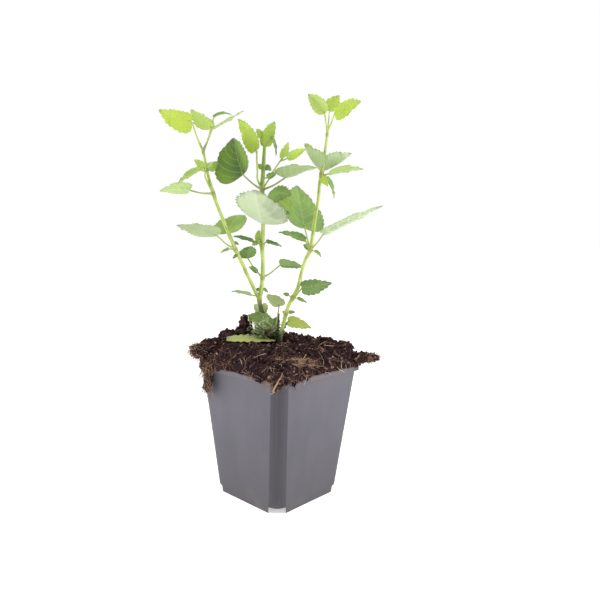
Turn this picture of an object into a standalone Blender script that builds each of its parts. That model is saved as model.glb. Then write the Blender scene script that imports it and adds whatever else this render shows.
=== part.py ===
"""A young anise hyssop plant in a square nursery pot of dark peat soil.

Metres, +Z up. The origin is the centre of the pot's underside, and the pot's
sides lie along X and Y. Lengths below are in millimetres until MM scales them.
Headings are degrees from +X towards +Y, seen from above.
"""
import bmesh
import bpy
from math import atan2, cos, pi, radians, sin
from mathutils import Matrix, Vector, noise

MM = 0.001
GAP = 0.3

# The pot
POT_HEIGHT = 100.0
POT_TOP_HALF = 44.0
POT_FOOT_HALF = 34.1
CORNER_CUT = 8.7
CORNER_BULGE = 0.26
WALL = 1.0
FLOOR = 1.2
LIP_HALF = 45.0
LIP_HEIGHT = 4.0
LIP_CORNER = 5.0
ROUND_BULGE = 0.29
CORNER_STEPS = 5

# The raised corners under the pot, each with a drainage hole
NOTCH_HEIGHT = 4.7
NOTCH_WIDTH = 12.6
NOTCH_INNER = 33.0
DRAIN_RADIUS = 3.0
DRAIN_REACH = 37.2
DRAIN_SIDES = 16
CORNERS = (45, 135, 225, 315)

# The soil
SOIL_FLOOR = FLOOR + GAP
SOIL_CROWN = 118.0
SOIL_RIM = 101.0
SOIL_UNDERSIDE = 96.0
HEAP_HALF = 45.5
HEAP_STEEPNESS = 6
HEAP_CELLS = 27
UNDERCUT = 0.93

# The soil's lumps, coarse to fine: height and how many fit in a millimetre
SOIL_RELIEF = [(3.2, 0.11), (2.6, 0.23), (1.8, 0.41)]

# Leaves and stems
BLADE_THICKNESS = 0.62
TIP_POWER = 1.0
STALK_RADIUS = 0.5
CROWN_RADIUS = 2.4

# The leaf that lies on the soil, and the flat bed under it
LYING_HEADING = 230
LEAF_BED_SIZE = (42, 18, 10)
LEAF_BED_PLACE = (24, 2.5, 122)

# Where the shoots stand in the soil
MAIN_FOOT = (-11, -2)
MAIN_RADIUS = 2.1
RIGHT_FOOT = (3, -3)
RIGHT_RADIUS = 1.7
CROWN_FOOT = (-2, -6)
STUB_FOOT = (-1, -1)
STUB_RADIUS = 0.9
SOIL_SURFACE = 119
FOOT_DEPTH = 22
STUB_DEPTH = 12
HOLE_SIDES = 12

# Routes of the stems: x, y, z and radius at each bend
STEMS = {
    "main": [
        (*MAIN_FOOT, SOIL_SURFACE - FOOT_DEPTH, MAIN_RADIUS), (*MAIN_FOOT, SOIL_SURFACE, MAIN_RADIUS),
        (-11, -4, 127, 2.0), (-10, -7, 135, 1.9), (-11, -10, 142, 1.8), (-12, -11, 149, 2.0),
        (-11, -11, 153, 1.8), (-10, -10, 165, 1.7), (-11, -9, 178, 1.5), (-12, -9, 191, 1.8),
        (-12, -8, 206, 1.5), (-13, -7, 219, 1.4), (-15, -7, 232, 1.7), (-15, -6, 248, 1.5),
        (-15, -5, 265, 1.2),
    ],
    "left": [
        (-12, -11, 149, 1.4), (-14, -17, 161, 1.4), (-16, -20, 168, 1.4), (-18, -23, 176, 1.4),
        (-22, -27, 187, 1.6), (-24, -29, 194, 1.4), (-27, -31, 202, 1.3), (-30, -33, 210, 1.3),
        (-34, -35, 220, 1.2), (-37, -36, 228, 1.4), (-40, -38, 239, 1.1), (-42, -39, 249, 1.0),
        (-45, -40, 260, 0.9),
    ],
    "side": [(-15, -7, 232, 0.8), (-16, -11, 240, 0.7), (-15, -12, 245, 0.7), (-15, -13, 260, 0.6)],
    "spray": [(-15, -7, 232, 0.7), (-13, -2, 240, 0.6), (-13, 2, 246, 0.6), (-10, 8, 256, 0.5)],
    "axil": [(-37, -36, 228, 0.8), (-38, -40, 235, 0.7), (-38, -43, 240, 0.6), (-37, -43, 245, 0.5)],
    "right": [
        (*RIGHT_FOOT, SOIL_SURFACE - FOOT_DEPTH, RIGHT_RADIUS), (*RIGHT_FOOT, SOIL_SURFACE, RIGHT_RADIUS),
        (4, -2, 127, 1.6), (5, -1, 133, 1.5), (7, -1, 140, 1.7), (9, 0, 147, 1.5), (11, 2, 152, 1.7),
        (14, 4, 160, 1.5), (16, 5, 170, 1.4), (18, 7, 180, 1.4), (21, 9, 188, 1.7), (22, 10, 198, 1.4),
        (23, 11, 210, 1.3), (24, 13, 224, 1.2), (24, 14, 234, 1.2), (24, 16, 244, 1.5), (26, 17, 260, 1.1),
        (27, 18, 274, 1.0),
    ],
    "stub": [
        (*STUB_FOOT, SOIL_SURFACE - STUB_DEPTH, STUB_RADIUS), (*STUB_FOOT, SOIL_SURFACE, STUB_RADIUS),
        (-1, -1, 130, 0.8), (-1, -1, 139, 0.9),
    ],
}


def collection(name):
    group = bpy.data.collections.new(name)
    bpy.context.scene.collection.children.link(group)
    return group


def material(name, colour, roughness):
    finish = bpy.data.materials.new(name)
    finish.use_nodes = True
    shader = finish.node_tree.nodes["Principled BSDF"]
    shader.inputs["Base Color"].default_value = (*colour, 1.0)
    shader.inputs["Roughness"].default_value = roughness
    shader.inputs["Metallic"].default_value = 0.0
    finish.diffuse_color = (*colour, 1.0)
    return finish


def add_object(name, mesh, group, finish=None):
    item = bpy.data.objects.new(name, mesh)
    group.objects.link(item)
    if finish is not None:
        mesh.materials.append(finish)
    return item


def evaluated_mesh(item):
    """The item's mesh with its modifiers applied."""
    bpy.context.view_layer.update()
    return bpy.data.meshes.new_from_object(item.evaluated_get(bpy.context.evaluated_depsgraph_get()))


def apply_modifiers(item):
    mesh = evaluated_mesh(item)
    item.modifiers.clear()
    item.data = mesh


def combine(item, others, operation):
    """Join the other objects to the item, or cut them from it, and remove them."""
    group = collection(item.name + " operands")
    for other in others:
        for holder in list(other.users_collection):
            holder.objects.unlink(other)
        group.objects.link(other)
    step = item.modifiers.new(operation.title(), "BOOLEAN")
    step.operation = operation
    step.operand_type = "COLLECTION"
    step.collection = group
    step.solver = "EXACT"
    apply_modifiers(item)
    for other in others:
        bpy.data.objects.remove(other, do_unlink=True)
    bpy.data.collections.remove(group)


def keep_largest_body(item):
    """Drop the loose scraps that a cut leaves."""
    cage = bmesh.new()
    cage.from_mesh(item.data)
    unseen = set(cage.verts)
    bodies = []
    while unseen:
        body = [unseen.pop()]
        for vert in body:
            for edge in vert.link_edges:
                neighbour = edge.other_vert(vert)
                if neighbour in unseen:
                    unseen.remove(neighbour)
                    body.append(neighbour)
        bodies.append(body)
    bodies.sort(key=len)
    for body in bodies[:-1]:
        bmesh.ops.delete(cage, geom=body, context="VERTS")
    cage.to_mesh(item.data)
    cage.free()


def smooth(item, angle=40):
    item.data.shade_smooth()
    item.data.set_sharp_from_angle(angle=radians(angle))


def square_ring(half, cut, bulge, z):
    """A square with its corners cut or rounded, as points at one height."""
    corner = []
    for step in range(CORNER_STEPS + 1):
        f = step / CORNER_STEPS
        out = 4 * f * (1 - f) * bulge * cut
        corner.append((half - f * cut + out * 0.707, half - cut + f * cut + out * 0.707))
    points = []
    for turn in range(4):
        spin = Matrix.Rotation(turn * pi / 2, 2)
        for point in corner:
            x, y = spin @ Vector(point)
            points.append(Vector((x, y, z)) * MM)
    return points


def loft(name, rings, group, finish=None, closed=False):
    """A solid through rings of points, capped at both ends or closed on itself."""
    cage = bmesh.new()
    loops = [[cage.verts.new(point) for point in ring] for ring in rings]
    pairs = list(zip(loops, loops[1:]))
    if closed:
        pairs.append((loops[-1], loops[0]))
    for low, high in pairs:
        count = len(low)
        for i in range(count):
            j = (i + 1) % count
            cage.faces.new((low[i], low[j], high[j], high[i]))
    if not closed:
        cage.faces.new(loops[0][::-1])
        cage.faces.new(loops[-1])
    bmesh.ops.recalc_face_normals(cage, faces=cage.faces)
    mesh = bpy.data.meshes.new(name)
    cage.to_mesh(mesh)
    cage.free()
    return add_object(name, mesh, group, finish)


def block(name, size, place, heading, group):
    """A box of the given size, turned to a heading."""
    cage = bmesh.new()
    bmesh.ops.create_cube(cage, size=1.0)
    turn = Matrix.Rotation(radians(heading), 4, "Z")
    bmesh.ops.transform(cage, matrix=turn @ Matrix.Translation(Vector(place) * MM)
                        @ Matrix.Diagonal((*(Vector(size) * MM), 1.0)), verts=cage.verts)
    mesh = bpy.data.meshes.new(name)
    cage.to_mesh(mesh)
    cage.free()
    return add_object(name, mesh, group)


def rod(name, radius, low, high, x, y, sides, group):
    """An upright round rod between two heights."""
    cage = bmesh.new()
    bmesh.ops.create_cone(cage, cap_ends=True, segments=sides, radius1=radius * MM, radius2=radius * MM,
                          depth=(high - low) * MM)
    bmesh.ops.translate(cage, vec=Vector((x, y, (low + high) / 2)) * MM, verts=cage.verts)
    mesh = bpy.data.meshes.new(name)
    cage.to_mesh(mesh)
    cage.free()
    return add_object(name, mesh, group)


def outer_half(z):
    """Half the width of the pot's wall, outside, at a height."""
    return POT_FOOT_HALF + (POT_TOP_HALF - POT_FOOT_HALF) * z / (POT_HEIGHT - LIP_HEIGHT)


# The pot: a thin tapered shell with cut corners, a stepped lip and raised corners below
def corner_blocks(name, grow, group):
    """The solid corners that the notches are cut in, thicker by an even margin where asked."""
    inner = NOTCH_INNER - FLOOR - grow
    width = NOTCH_WIDTH + 2 * (WALL + grow)
    top = NOTCH_HEIGHT + FLOOR + grow
    low = -5
    size = (30, width, top - low)
    place = (inner + 15, 0, (top + low) / 2)
    return [block(name, size, place, heading, group) for heading in CORNERS]


def build_pot(parts, cutters):
    lip_foot = POT_HEIGHT - LIP_HEIGHT
    inner_top = POT_TOP_HALF - WALL
    pot = loft("pot", [
        square_ring(POT_FOOT_HALF, CORNER_CUT, CORNER_BULGE, 0),
        square_ring(POT_TOP_HALF, CORNER_CUT, CORNER_BULGE, lip_foot),
        square_ring(LIP_HALF - 0.2, LIP_CORNER, ROUND_BULGE, lip_foot + 0.1),
        square_ring(LIP_HALF, LIP_CORNER, ROUND_BULGE, lip_foot + 0.5),
        square_ring(LIP_HALF, LIP_CORNER, ROUND_BULGE, POT_HEIGHT - 0.5),
        square_ring(LIP_HALF - 0.4, LIP_CORNER, ROUND_BULGE, POT_HEIGHT),
    ], parts, material("pot plastic", (0.20, 0.19, 0.22), 0.55))
    cavity = loft("cavity", [
        square_ring(outer_half(FLOOR) - WALL, CORNER_CUT, CORNER_BULGE, FLOOR),
        square_ring(inner_top, CORNER_CUT, CORNER_BULGE, lip_foot),
        square_ring(inner_top + 0.3, LIP_CORNER, ROUND_BULGE, POT_HEIGHT - 0.5),
        square_ring(inner_top + 0.6, LIP_CORNER, ROUND_BULGE, POT_HEIGHT + 5),
    ], cutters)
    combine(cavity, corner_blocks("corner", 0, cutters), "DIFFERENCE")
    cuts = [cavity]
    for heading in CORNERS:
        size = (30, NOTCH_WIDTH, NOTCH_HEIGHT + 5)
        place = (NOTCH_INNER + 15, 0, (NOTCH_HEIGHT - 5) / 2)
        cuts.append(block("notch", size, place, heading, cutters))
        x = DRAIN_REACH * cos(radians(heading))
        y = DRAIN_REACH * sin(radians(heading))
        low = NOTCH_HEIGHT - 2
        high = NOTCH_HEIGHT + FLOOR + 2
        cuts.append(rod("drain", DRAIN_RADIUS, low, high, x, y, DRAIN_SIDES, cutters))
    combine(pot, cuts, "DIFFERENCE")
    smooth(pot, 30)
    return pot


# The soil: it fills the pot, heaps up round the stems and spills over the corners
def reach_of_heap(heading):
    """How far the heap reaches from the pot's axis at a heading in radians."""
    c, s = abs(cos(heading)), abs(sin(heading))
    square = HEAP_HALF / (c ** 8 + s ** 8) ** (1 / 8)
    return square + 3.0 * abs(sin(2 * heading)) ** 6 + 0.9 * sin(9 * heading) + 0.6 * sin(17 * heading + 1)


def heap(name, group):
    """The heaped top of the soil: a lumpy grid that follows the height rule, closed below."""
    cage = bmesh.new()
    bmesh.ops.create_grid(cage, x_segments=HEAP_CELLS, y_segments=HEAP_CELLS, size=1.0)
    for vert in cage.verts:
        heading = atan2(vert.co.y, vert.co.x)
        fraction = max(abs(vert.co.x), abs(vert.co.y))
        reach = reach_of_heap(heading) * fraction
        x, y = reach * cos(heading), reach * sin(heading)
        rise = (SOIL_CROWN - SOIL_RIM) * max(0.0, 1 - fraction ** HEAP_STEEPNESS) ** 0.8
        rough = sum(height * noise.noise(Vector((x, y, 5.0)) * scale) for height, scale in SOIL_RELIEF)
        vert.co = Vector((x, y, SOIL_RIM + rise + rough)) * MM
    rim = [edge for edge in cage.edges if edge.is_boundary]
    skirt = bmesh.ops.extrude_edge_only(cage, edges=rim)["geom"]
    for vert in skirt:
        if isinstance(vert, bmesh.types.BMVert):
            vert.co = Vector((vert.co.x * UNDERCUT, vert.co.y * UNDERCUT, SOIL_UNDERSIDE * MM))
    bmesh.ops.holes_fill(cage, edges=cage.edges)
    bmesh.ops.recalc_face_normals(cage, faces=cage.faces)
    bmesh.ops.triangulate(cage, faces=cage.faces)
    mesh = bpy.data.meshes.new(name)
    cage.to_mesh(mesh)
    cage.free()
    return add_object(name, mesh, group)


def clod(name, place, size, seed, group):
    """A rough lump of peat: a ball with its points pushed in and out."""
    cage = bmesh.new()
    bmesh.ops.create_icosphere(cage, subdivisions=2, radius=1.0)
    for vert in cage.verts:
        push = 1 + 0.35 * noise.noise(vert.co * 1.7 + Vector((seed, 0, 0)))
        vert.co = Vector([c * half for c, half in zip(vert.co, size)]) * push
        vert.co = (vert.co + Vector(place)) * MM
    mesh = bpy.data.meshes.new(name)
    cage.to_mesh(mesh)
    cage.free()
    return add_object(name, mesh, group)


# Clods that stand out of the heap: centre and half sizes
CLODS = [
    ((-38, -36, 112), (9, 9, 7)),
    ((-44, -43, 109), (8, 7, 5)),
    ((-31, -46, 99), (5, 4.5, 5.5)),
    ((-29, -47, 91), (3.2, 3, 10)),
    ((36, 35, 112), (9, 9, 6)),
    ((45, 43, 106.5), (9, 8, 4)),
    ((52.5, 50, 106.5), (5.5, 4, 3)),
    ((-38, -20, 116), (9, 6, 8)),
    ((-27, -11, 121), (7, 6.5, 9)),
    ((-27.5, -11, 129), (5.2, 5, 6.5)),
    ((41, -42, 102), (8, 7, 5)),
    ((43, -45, 99), (4, 4, 4.5)),
]

# Holes in the soil: x, y, radius and depth of what stands in each
PLANT_HOLES = [
    (*MAIN_FOOT, MAIN_RADIUS, FOOT_DEPTH),
    (*RIGHT_FOOT, RIGHT_RADIUS, FOOT_DEPTH),
    (*CROWN_FOOT, CROWN_RADIUS, FOOT_DEPTH),
    (*STUB_FOOT, STUB_RADIUS, STUB_DEPTH),
]


def rim_clearance(group):
    """The pot's wall and lip thickened by the gap, which the hanging soil stays clear of."""
    lip_foot = POT_HEIGHT - LIP_HEIGHT
    low = 70.0
    return loft("rim clearance", [
        square_ring(outer_half(low) + GAP, CORNER_CUT, CORNER_BULGE, low),
        square_ring(POT_TOP_HALF + GAP, CORNER_CUT, CORNER_BULGE, lip_foot - GAP),
        square_ring(LIP_HALF + GAP, LIP_CORNER, ROUND_BULGE, lip_foot - GAP + 0.05),
        square_ring(LIP_HALF + GAP, LIP_CORNER, ROUND_BULGE, POT_HEIGHT + GAP),
        square_ring(POT_TOP_HALF - WALL - GAP, LIP_CORNER, ROUND_BULGE, POT_HEIGHT + GAP),
        square_ring(POT_TOP_HALF - WALL - GAP, CORNER_CUT, CORNER_BULGE, lip_foot),
        square_ring(outer_half(low) - WALL - GAP, CORNER_CUT, CORNER_BULGE, low),
    ], group, closed=True)


def build_soil(parts, cutters):
    lip_foot = POT_HEIGHT - LIP_HEIGHT
    inset = WALL + GAP + 0.1
    soil = loft("soil", [
        square_ring(outer_half(z) - inset, CORNER_CUT, CORNER_BULGE, z)
        for z in (SOIL_FLOOR, lip_foot, POT_HEIGHT + 1)
    ], parts, material("peat", (0.055, 0.038, 0.030), 0.95))
    lumps = [heap("heap", cutters)]
    for number, (place, size) in enumerate(CLODS):
        lumps.append(clod("clod", place, size, 7.3 * number, cutters))
    combine(soil, lumps, "UNION")
    cuts = [rim_clearance(cutters)]
    cuts += corner_blocks("corner clearance", GAP, cutters)
    for x, y, radius, depth in PLANT_HOLES:
        low = SOIL_SURFACE - depth - GAP
        high = SOIL_SURFACE + 20
        cuts.append(rod("plant hole", radius + GAP, low, high, x, y, HOLE_SIDES, cutters))
    cuts.append(block("leaf bed", LEAF_BED_SIZE, LEAF_BED_PLACE, LYING_HEADING, cutters))
    combine(soil, cuts, "DIFFERENCE")
    keep_largest_body(soil)
    smooth(soil, 60)
    return soil


def tube(name, points, radii, group, roundness=1):
    """A mesh tube through points, made as a curve with a bevel."""
    curve = bpy.data.curves.new(name, "CURVE")
    curve.dimensions = "3D"
    curve.bevel_depth = MM
    curve.bevel_resolution = roundness
    curve.use_fill_caps = True
    line = curve.splines.new("POLY")
    line.points.add(len(points) - 1)
    for spot, point, radius in zip(line.points, points, radii):
        spot.co = (*(Vector(point) * MM), 1.0)
        spot.radius = radius
    guide = bpy.data.objects.new(name + " curve", curve)
    group.objects.link(guide)
    mesh = evaluated_mesh(guide)
    cage = bmesh.new()
    cage.from_mesh(mesh)
    bmesh.ops.remove_doubles(cage, verts=cage.verts, dist=0.00001)
    bmesh.ops.recalc_face_normals(cage, faces=cage.faces)
    cage.to_mesh(mesh)
    cage.free()
    item = add_object(name, mesh, group)
    bpy.data.objects.remove(guide, do_unlink=True)
    return item


def stem_point(stem, height):
    """The point of a stem's route at a height."""
    route = STEMS[stem]
    for low, high in zip(route, route[1:]):
        if low[2] <= height <= high[2]:
            return Vector(low[:3]).lerp(Vector(high[:3]), (height - low[2]) / (high[2] - low[2]))
    return Vector(route[-1][:3])


def direction(heading, pitch):
    h, p = radians(heading), radians(pitch)
    return Vector((cos(h) * cos(p), sin(h) * cos(p), sin(p)))


class Leaf:
    """One leaf: the height of its joint, its stalk and its blade."""

    def __init__(self, stem, joint, stalk, blade, roll, fold, curl, lobe=0.12, peak=0.29):
        self.start = stem_point(stem, joint) if stem else Vector(joint)
        self.stalk_heading, self.stalk_length, self.stalk_rise = stalk
        self.heading, self.pitch, self.length, self.width = blade
        self.roll, self.fold, self.curl = radians(roll), radians(fold), curl
        self.lobe, self.peak = lobe, peak
        self.teeth = 6 if self.length >= 22 else 4 if self.length >= 13 else 3 if self.length > 8 else 2

    def base(self):
        return self.start + direction(self.stalk_heading, self.stalk_rise) * self.stalk_length

    def frame(self, t):
        """Forward, leftward and upward directions of the blade at a fraction of its length."""
        pitch = self.pitch + self.curl / 2 - self.curl * t
        ahead = direction(self.heading, pitch)
        left = Matrix.Rotation(self.roll, 3, ahead) @ direction(self.heading + 90, 0)
        return ahead, left, ahead.cross(left)

    def rib(self):
        """Points along the middle of the blade, valley and tooth in turn."""
        count = 2 * self.teeth
        points = [self.base()]
        for i in range(count):
            ahead = self.frame((i + 0.5) / count)[0]
            points.append(points[-1] + ahead * self.length / count)
        return points

    def half_width(self, t):
        rise = TIP_POWER * self.peak / (1 - self.peak)
        return self.width / 2 * (t / self.peak) ** rise * ((1 - t) / (1 - self.peak)) ** TIP_POWER

    def edge(self, side):
        """Points along one toothed edge, without the base and the tip."""
        rib = self.rib()
        count = 2 * self.teeth
        points = []
        for i in range(1, count):
            t = i / count
            ahead, left, up = self.frame(t)
            half = self.half_width(t)
            tooth = 1 if i % 2 else -1
            shift = tooth * 0.25 / count - self.lobe * 2 * half / self.width * (1 - t) ** 2
            across = left * side * cos(self.fold) + up * sin(self.fold)
            points.append(rib[i] + ahead * self.length * shift + across * half * (1 + 0.06 * tooth))
        return points

    def build(self, group):
        """The blade as a thin solid, and its stalk, sunk into the stem and the blade."""
        cage = bmesh.new()
        rib = [cage.verts.new(point * MM) for point in self.rib()]
        for side in (1, -1):
            edge = [rib[0]] + [cage.verts.new(point * MM) for point in self.edge(side)] + [rib[-1]]
            for i in range(len(rib) - 1):
                corners = [rib[i], rib[i + 1], edge[i + 1], edge[i]]
                corners = [corner for n, corner in enumerate(corners) if corner not in corners[:n]]
                cage.faces.new(corners[::-side])
        bmesh.ops.triangulate(cage, faces=cage.faces)
        mesh = bpy.data.meshes.new("blade")
        cage.to_mesh(mesh)
        cage.free()
        blade = add_object("blade", mesh, group)
        shell = blade.modifiers.new("Solidify", "SOLIDIFY")
        shell.thickness = BLADE_THICKNESS * MM
        shell.offset = 0
        apply_modifiers(blade)
        rib = self.rib()
        count = len(rib) - 1
        thick = STALK_RADIUS * (0.8 if self.length <= 12 else 1.0 if self.length < 28 else 1.2)
        points = [self.start, self.start.lerp(rib[0], 0.5), rib[0]]
        points += [rib[round(count * 0.2)], rib[round(count * 0.45)]]
        radii = [thick * 1.2, thick, thick * 0.9, thick * 0.75, BLADE_THICKNESS * 0.3]
        if self.stalk_length < 5:
            del points[1], radii[1]
        return [blade, tube("stalk", points, radii, group, 1 if self.length >= 22 else 0)]


# Leaves: stem and height of the joint, the stalk's heading, length and rise, the blade's heading,
# pitch, length and width, its roll, fold and curl, then the backward sweep of its base and
# how far up the blade is widest, where these differ from most leaves
MAIN_LEAVES = [
    Leaf("main", 152, (255, 8, 10), (250, 10, 16, 8), -20, 5, 10),
    Leaf("main", 157, (275, 2, 5), (185, -15, 5, 3), -60, 10, 15),
    Leaf("main", 157, (45, 2, 20), (60, -40, 5, 3), 60, 10, 10),
    Leaf("left", 187, (258, 18, 33), (197, 11, 38, 23), -19, 5, 10, 0.0),
    Leaf("left", 187, (165, 18, 40), (125, 25, 37, 28), -10, 10, 20),
    Leaf("left", 187, (250, 5, 5), (205, -25, 8, 3), -60, 10, 10),
    Leaf("left", 190, (130, 4, 25), (85, -20, 5, 3), 60, 10, 50),
    Leaf("left", 184, (320, 2, -30), (210, -40, 5, 3), -60, 10, 10),
    Leaf("left", 228, (245, 18, 5), (250, -5, 22, 18), 25, 5, 25),
    Leaf("left", 260, (275, 22, 60), (240, 15, 24, 21), -60, -15, -20),
    Leaf("left", 259, (90, 20, 64), (214, 40, 22, 18), -33, -5, -12, 0.09, 0.41),
    Leaf("left", 258, (112, 33, 61), (60, 10, 15, 4), 40, 20, 60),
    Leaf("left", 259.5, (5, 19, 55), (45, 30, 26, 16), 5, -5, 0),
    Leaf("axil", 244, (250, 5, 5), (235, -35, 19, 10), -30, 10, 15),
    Leaf("axil", 244, (235, 2, 55), (190, 35, 12, 6), -60, 20, 15),
    Leaf("axil", 244, (120, 5, 25), (350, 35, 8, 5), -15, 10, 15),
    Leaf("axil", 244, (125, 9, 10), (85, 40, 11, 7), 60, 10, 15),
    Leaf("main", 166, (60, 17, 35), (65, -5, 20, 12), 35, 15, 5),
    Leaf("main", 166, (190, 20, 45), (135, 30, 18, 14), -10, 15, 20),
    Leaf("main", 166, (250, 6, 45), (170, 15, 13, 4), -60, 15, 25),
    Leaf("main", 191, (315, 20, 50), (307, 38, 36, 42), -18, 10, -10, 0.05, 0.36),
    Leaf("main", 191, (255, 8, 20), (255, 10, 17, 8), -30, 0, 10),
    Leaf("main", 191, (60, 4, 30), (60, -15, 13, 6), 35, 10, 10),
    Leaf("main", 191, (260, 5, 40), (130, 45, 11, 5), 5, 15, 25),
    Leaf("main", 191, (290, 5, 20), (185, -15, 8, 6), -60, 15, 5),
    Leaf("main", 232, (229, 18, 37), (166, 60, 34, 39), -64, 39, -19, 0.35),
    Leaf("main", 230, (10, 6, -30), (0, 0, 25, 17), 60, -15, 40),
    Leaf("main", 224, (2, 13, 10), (56, -40, 17, 12), 55, 12, 10, 0.0, 0.43),
    Leaf("main", 232, (27, 20, 26), (0, 10, 32, 26), -4, 17, 10, 0.16),
    Leaf("main", 263, (50, 2, 55), (110, 55, 26, 11), 15, 20, 25),
    Leaf("main", 264, (270, 7, 65), (165, 40, 12, 5), -50, 20, 25),
    Leaf("main", 264, (65, 10, 55), (75, -75, 15, 6), 50, 5, 30),
    Leaf("main", 248, (265, 1, -5), (175, 30, 7, 4), -60, 15, 20),
    Leaf("main", 248, (100, 3, 35), (5, -30, 7, 5), 60, 5, 15),
    Leaf("main", 241, (20, 4, 0), (95, 25, 12, 5), 55, 15, 5),
    Leaf("side", 259, (290, 2, 55), (180, 50, 33, 13), -80, 15, 20),
    Leaf("spray", 256, (45, 2, 45), (110, 55, 16, 8), -15, 5, 15),
    Leaf("spray", 255, (60, 6, 20), (90, 25, 23, 7), 70, 20, 5),
    Leaf("main", 133, (225, 5, 70), (130, 30, 15, 9), -15, 20, 25),
    Leaf("main", 123, (160, 11, 80), (170, 30, 10, 7), -60, 15, 15),
    Leaf("main", 135, (225, 7, 55), (170, 25, 9, 6), -60, 15, 20),
]

RIGHT_LEAVES = [
    Leaf("right", 188, (155, 19, 55), (150, 55, 42, 38), 20, 5, -5, 0.15, 0.35),
    Leaf("right", 188, (270, 9, 50), (235, 15, 21, 11), -30, 10, 15),
    Leaf("right", 188, (5, 17, 45), (20, 25, 48, 12), -20, 10, 0),
    Leaf("right", 188, (10, 4, -10), (30, -45, 7, 3), 45, 10, 50),
    Leaf("right", 188, (260, 2, 30), (165, 20, 8, 4), -60, 10, 20),
    Leaf("right", 244, (221, 3, 70), (210, 56, 22, 23), 33, 32, -30, 0.0, 0.25),
    Leaf("right", 244, (96, 5, 39), (51, 33, 24, 22), -28, 31, -25, 0.0, 0.3),
    Leaf("right", 243, (20, 6, 7), (47, 9, 26, 15), -15, 5, 20, 0.0),
    Leaf("right", 242, (330, 3, -20), (15, -55, 8, 6), 60, 5, 15),
    Leaf("right", 243, (80, 6, -10), (55, -70, 17, 5), 45, 0, 30),
    Leaf("right", 245, (160, 22, 45), (170, 40, 13, 6), -60, 25, 20),
    Leaf("right", 274, (265, 13, 75), (185, 45, 22, 13), -65, 35, 10),
    Leaf("right", 274, (125, 21, 55), (80, 55, 16, 12), 35, 20, 15),
    Leaf("right", 274, (80, 16, 65), (10, 15, 22, 18), 60, -10, 25),
    Leaf("right", 149, (20, 14, 50), (50, 10, 23, 15), 45, -5, -5),
    Leaf("right", 152, (240, 4, 25), (180, 10, 6, 3), -60, 10, 15),
    Leaf("right", 152, (75, 4, -10), (60, -25, 9, 3), 60, 10, 10),
    Leaf("right", 140, (340, 2, -5), (175, 10, 6, 4), -60, 10, 20),
    Leaf("right", 140, (90, 3, 5), (70, 0, 6, 3), 60, 10, 15),
]

CROWN_TOP = (*CROWN_FOOT, SOIL_SURFACE - 1)
CROWN_LEAVES = [
    Leaf(None, CROWN_TOP, (225, 1, 60), (LYING_HEADING, 0, 34, 15), -6, 5, 0),
    Leaf(None, CROWN_TOP, (60, 27, 80), (180, 30, 16, 14), -10, 10, 30),
    Leaf(None, CROWN_TOP, (250, 12, 85), (200, 15, 22, 15), -75, 30, 25),
    Leaf(None, CROWN_TOP, (245, 9, 35), (185, 5, 13, 7), -60, 20, 15),
    Leaf(None, CROWN_TOP, (120, 11, 65), (120, 40, 11, 8), 10, 20, 20),
    Leaf(None, CROWN_TOP, (55, 19, 52), (45, -15, 19, 13), 35, 5, 10),
]


def build_shoot(name, stems, leaves, finish, parts, cutters):
    """One leafy node: its stems and all the leaves on them, joined in one solid."""
    pieces = []
    for stem in stems:
        points = [Vector(point[:3]) for point in STEMS[stem]]
        radii = [point[3] for point in STEMS[stem]]
        pieces.append(tube(stem, points, radii, cutters, 1))
    if not stems:
        low = SOIL_SURFACE - FOOT_DEPTH
        high = SOIL_SURFACE + 1
        pieces.append(rod(name, CROWN_RADIUS, low, high, *CROWN_FOOT, HOLE_SIDES, cutters))
    for leaf in leaves:
        pieces += leaf.build(cutters)
    shoot = pieces[0]
    shoot.name = name
    shoot.data.materials.append(finish)
    cutters.objects.unlink(shoot)
    parts.objects.link(shoot)
    if len(pieces) > 1:
        combine(shoot, pieces[1:], "UNION")
    smooth(shoot)
    return shoot


def main():
    for item in list(bpy.data.objects):
        bpy.data.objects.remove(item, do_unlink=True)
    parts = collection("potted anise hyssop")
    cutters = collection("cutters")
    leaf_green = material("leaf green", (0.27, 0.46, 0.12), 0.6)
    basal_green = material("basal leaf green", (0.22, 0.38, 0.11), 0.65)
    wood = material("old stem", (0.22, 0.20, 0.10), 0.8)
    build_pot(parts, cutters)
    build_soil(parts, cutters)
    main_stems = ("main", "left", "side", "spray", "axil")
    build_shoot("main_shoots", main_stems, MAIN_LEAVES, leaf_green, parts, cutters)
    build_shoot("right_shoot", ("right",), RIGHT_LEAVES, leaf_green, parts, cutters)
    build_shoot("crown_leaves", (), CROWN_LEAVES, basal_green, parts, cutters)
    build_shoot("cut_stub", ("stub",), (), wood, parts, cutters)


main()
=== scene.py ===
from math import cos, exp, inf, pi, radians, sin

import bmesh
import bpy
import numpy as np
from mathutils import Matrix, Vector, noise


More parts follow.
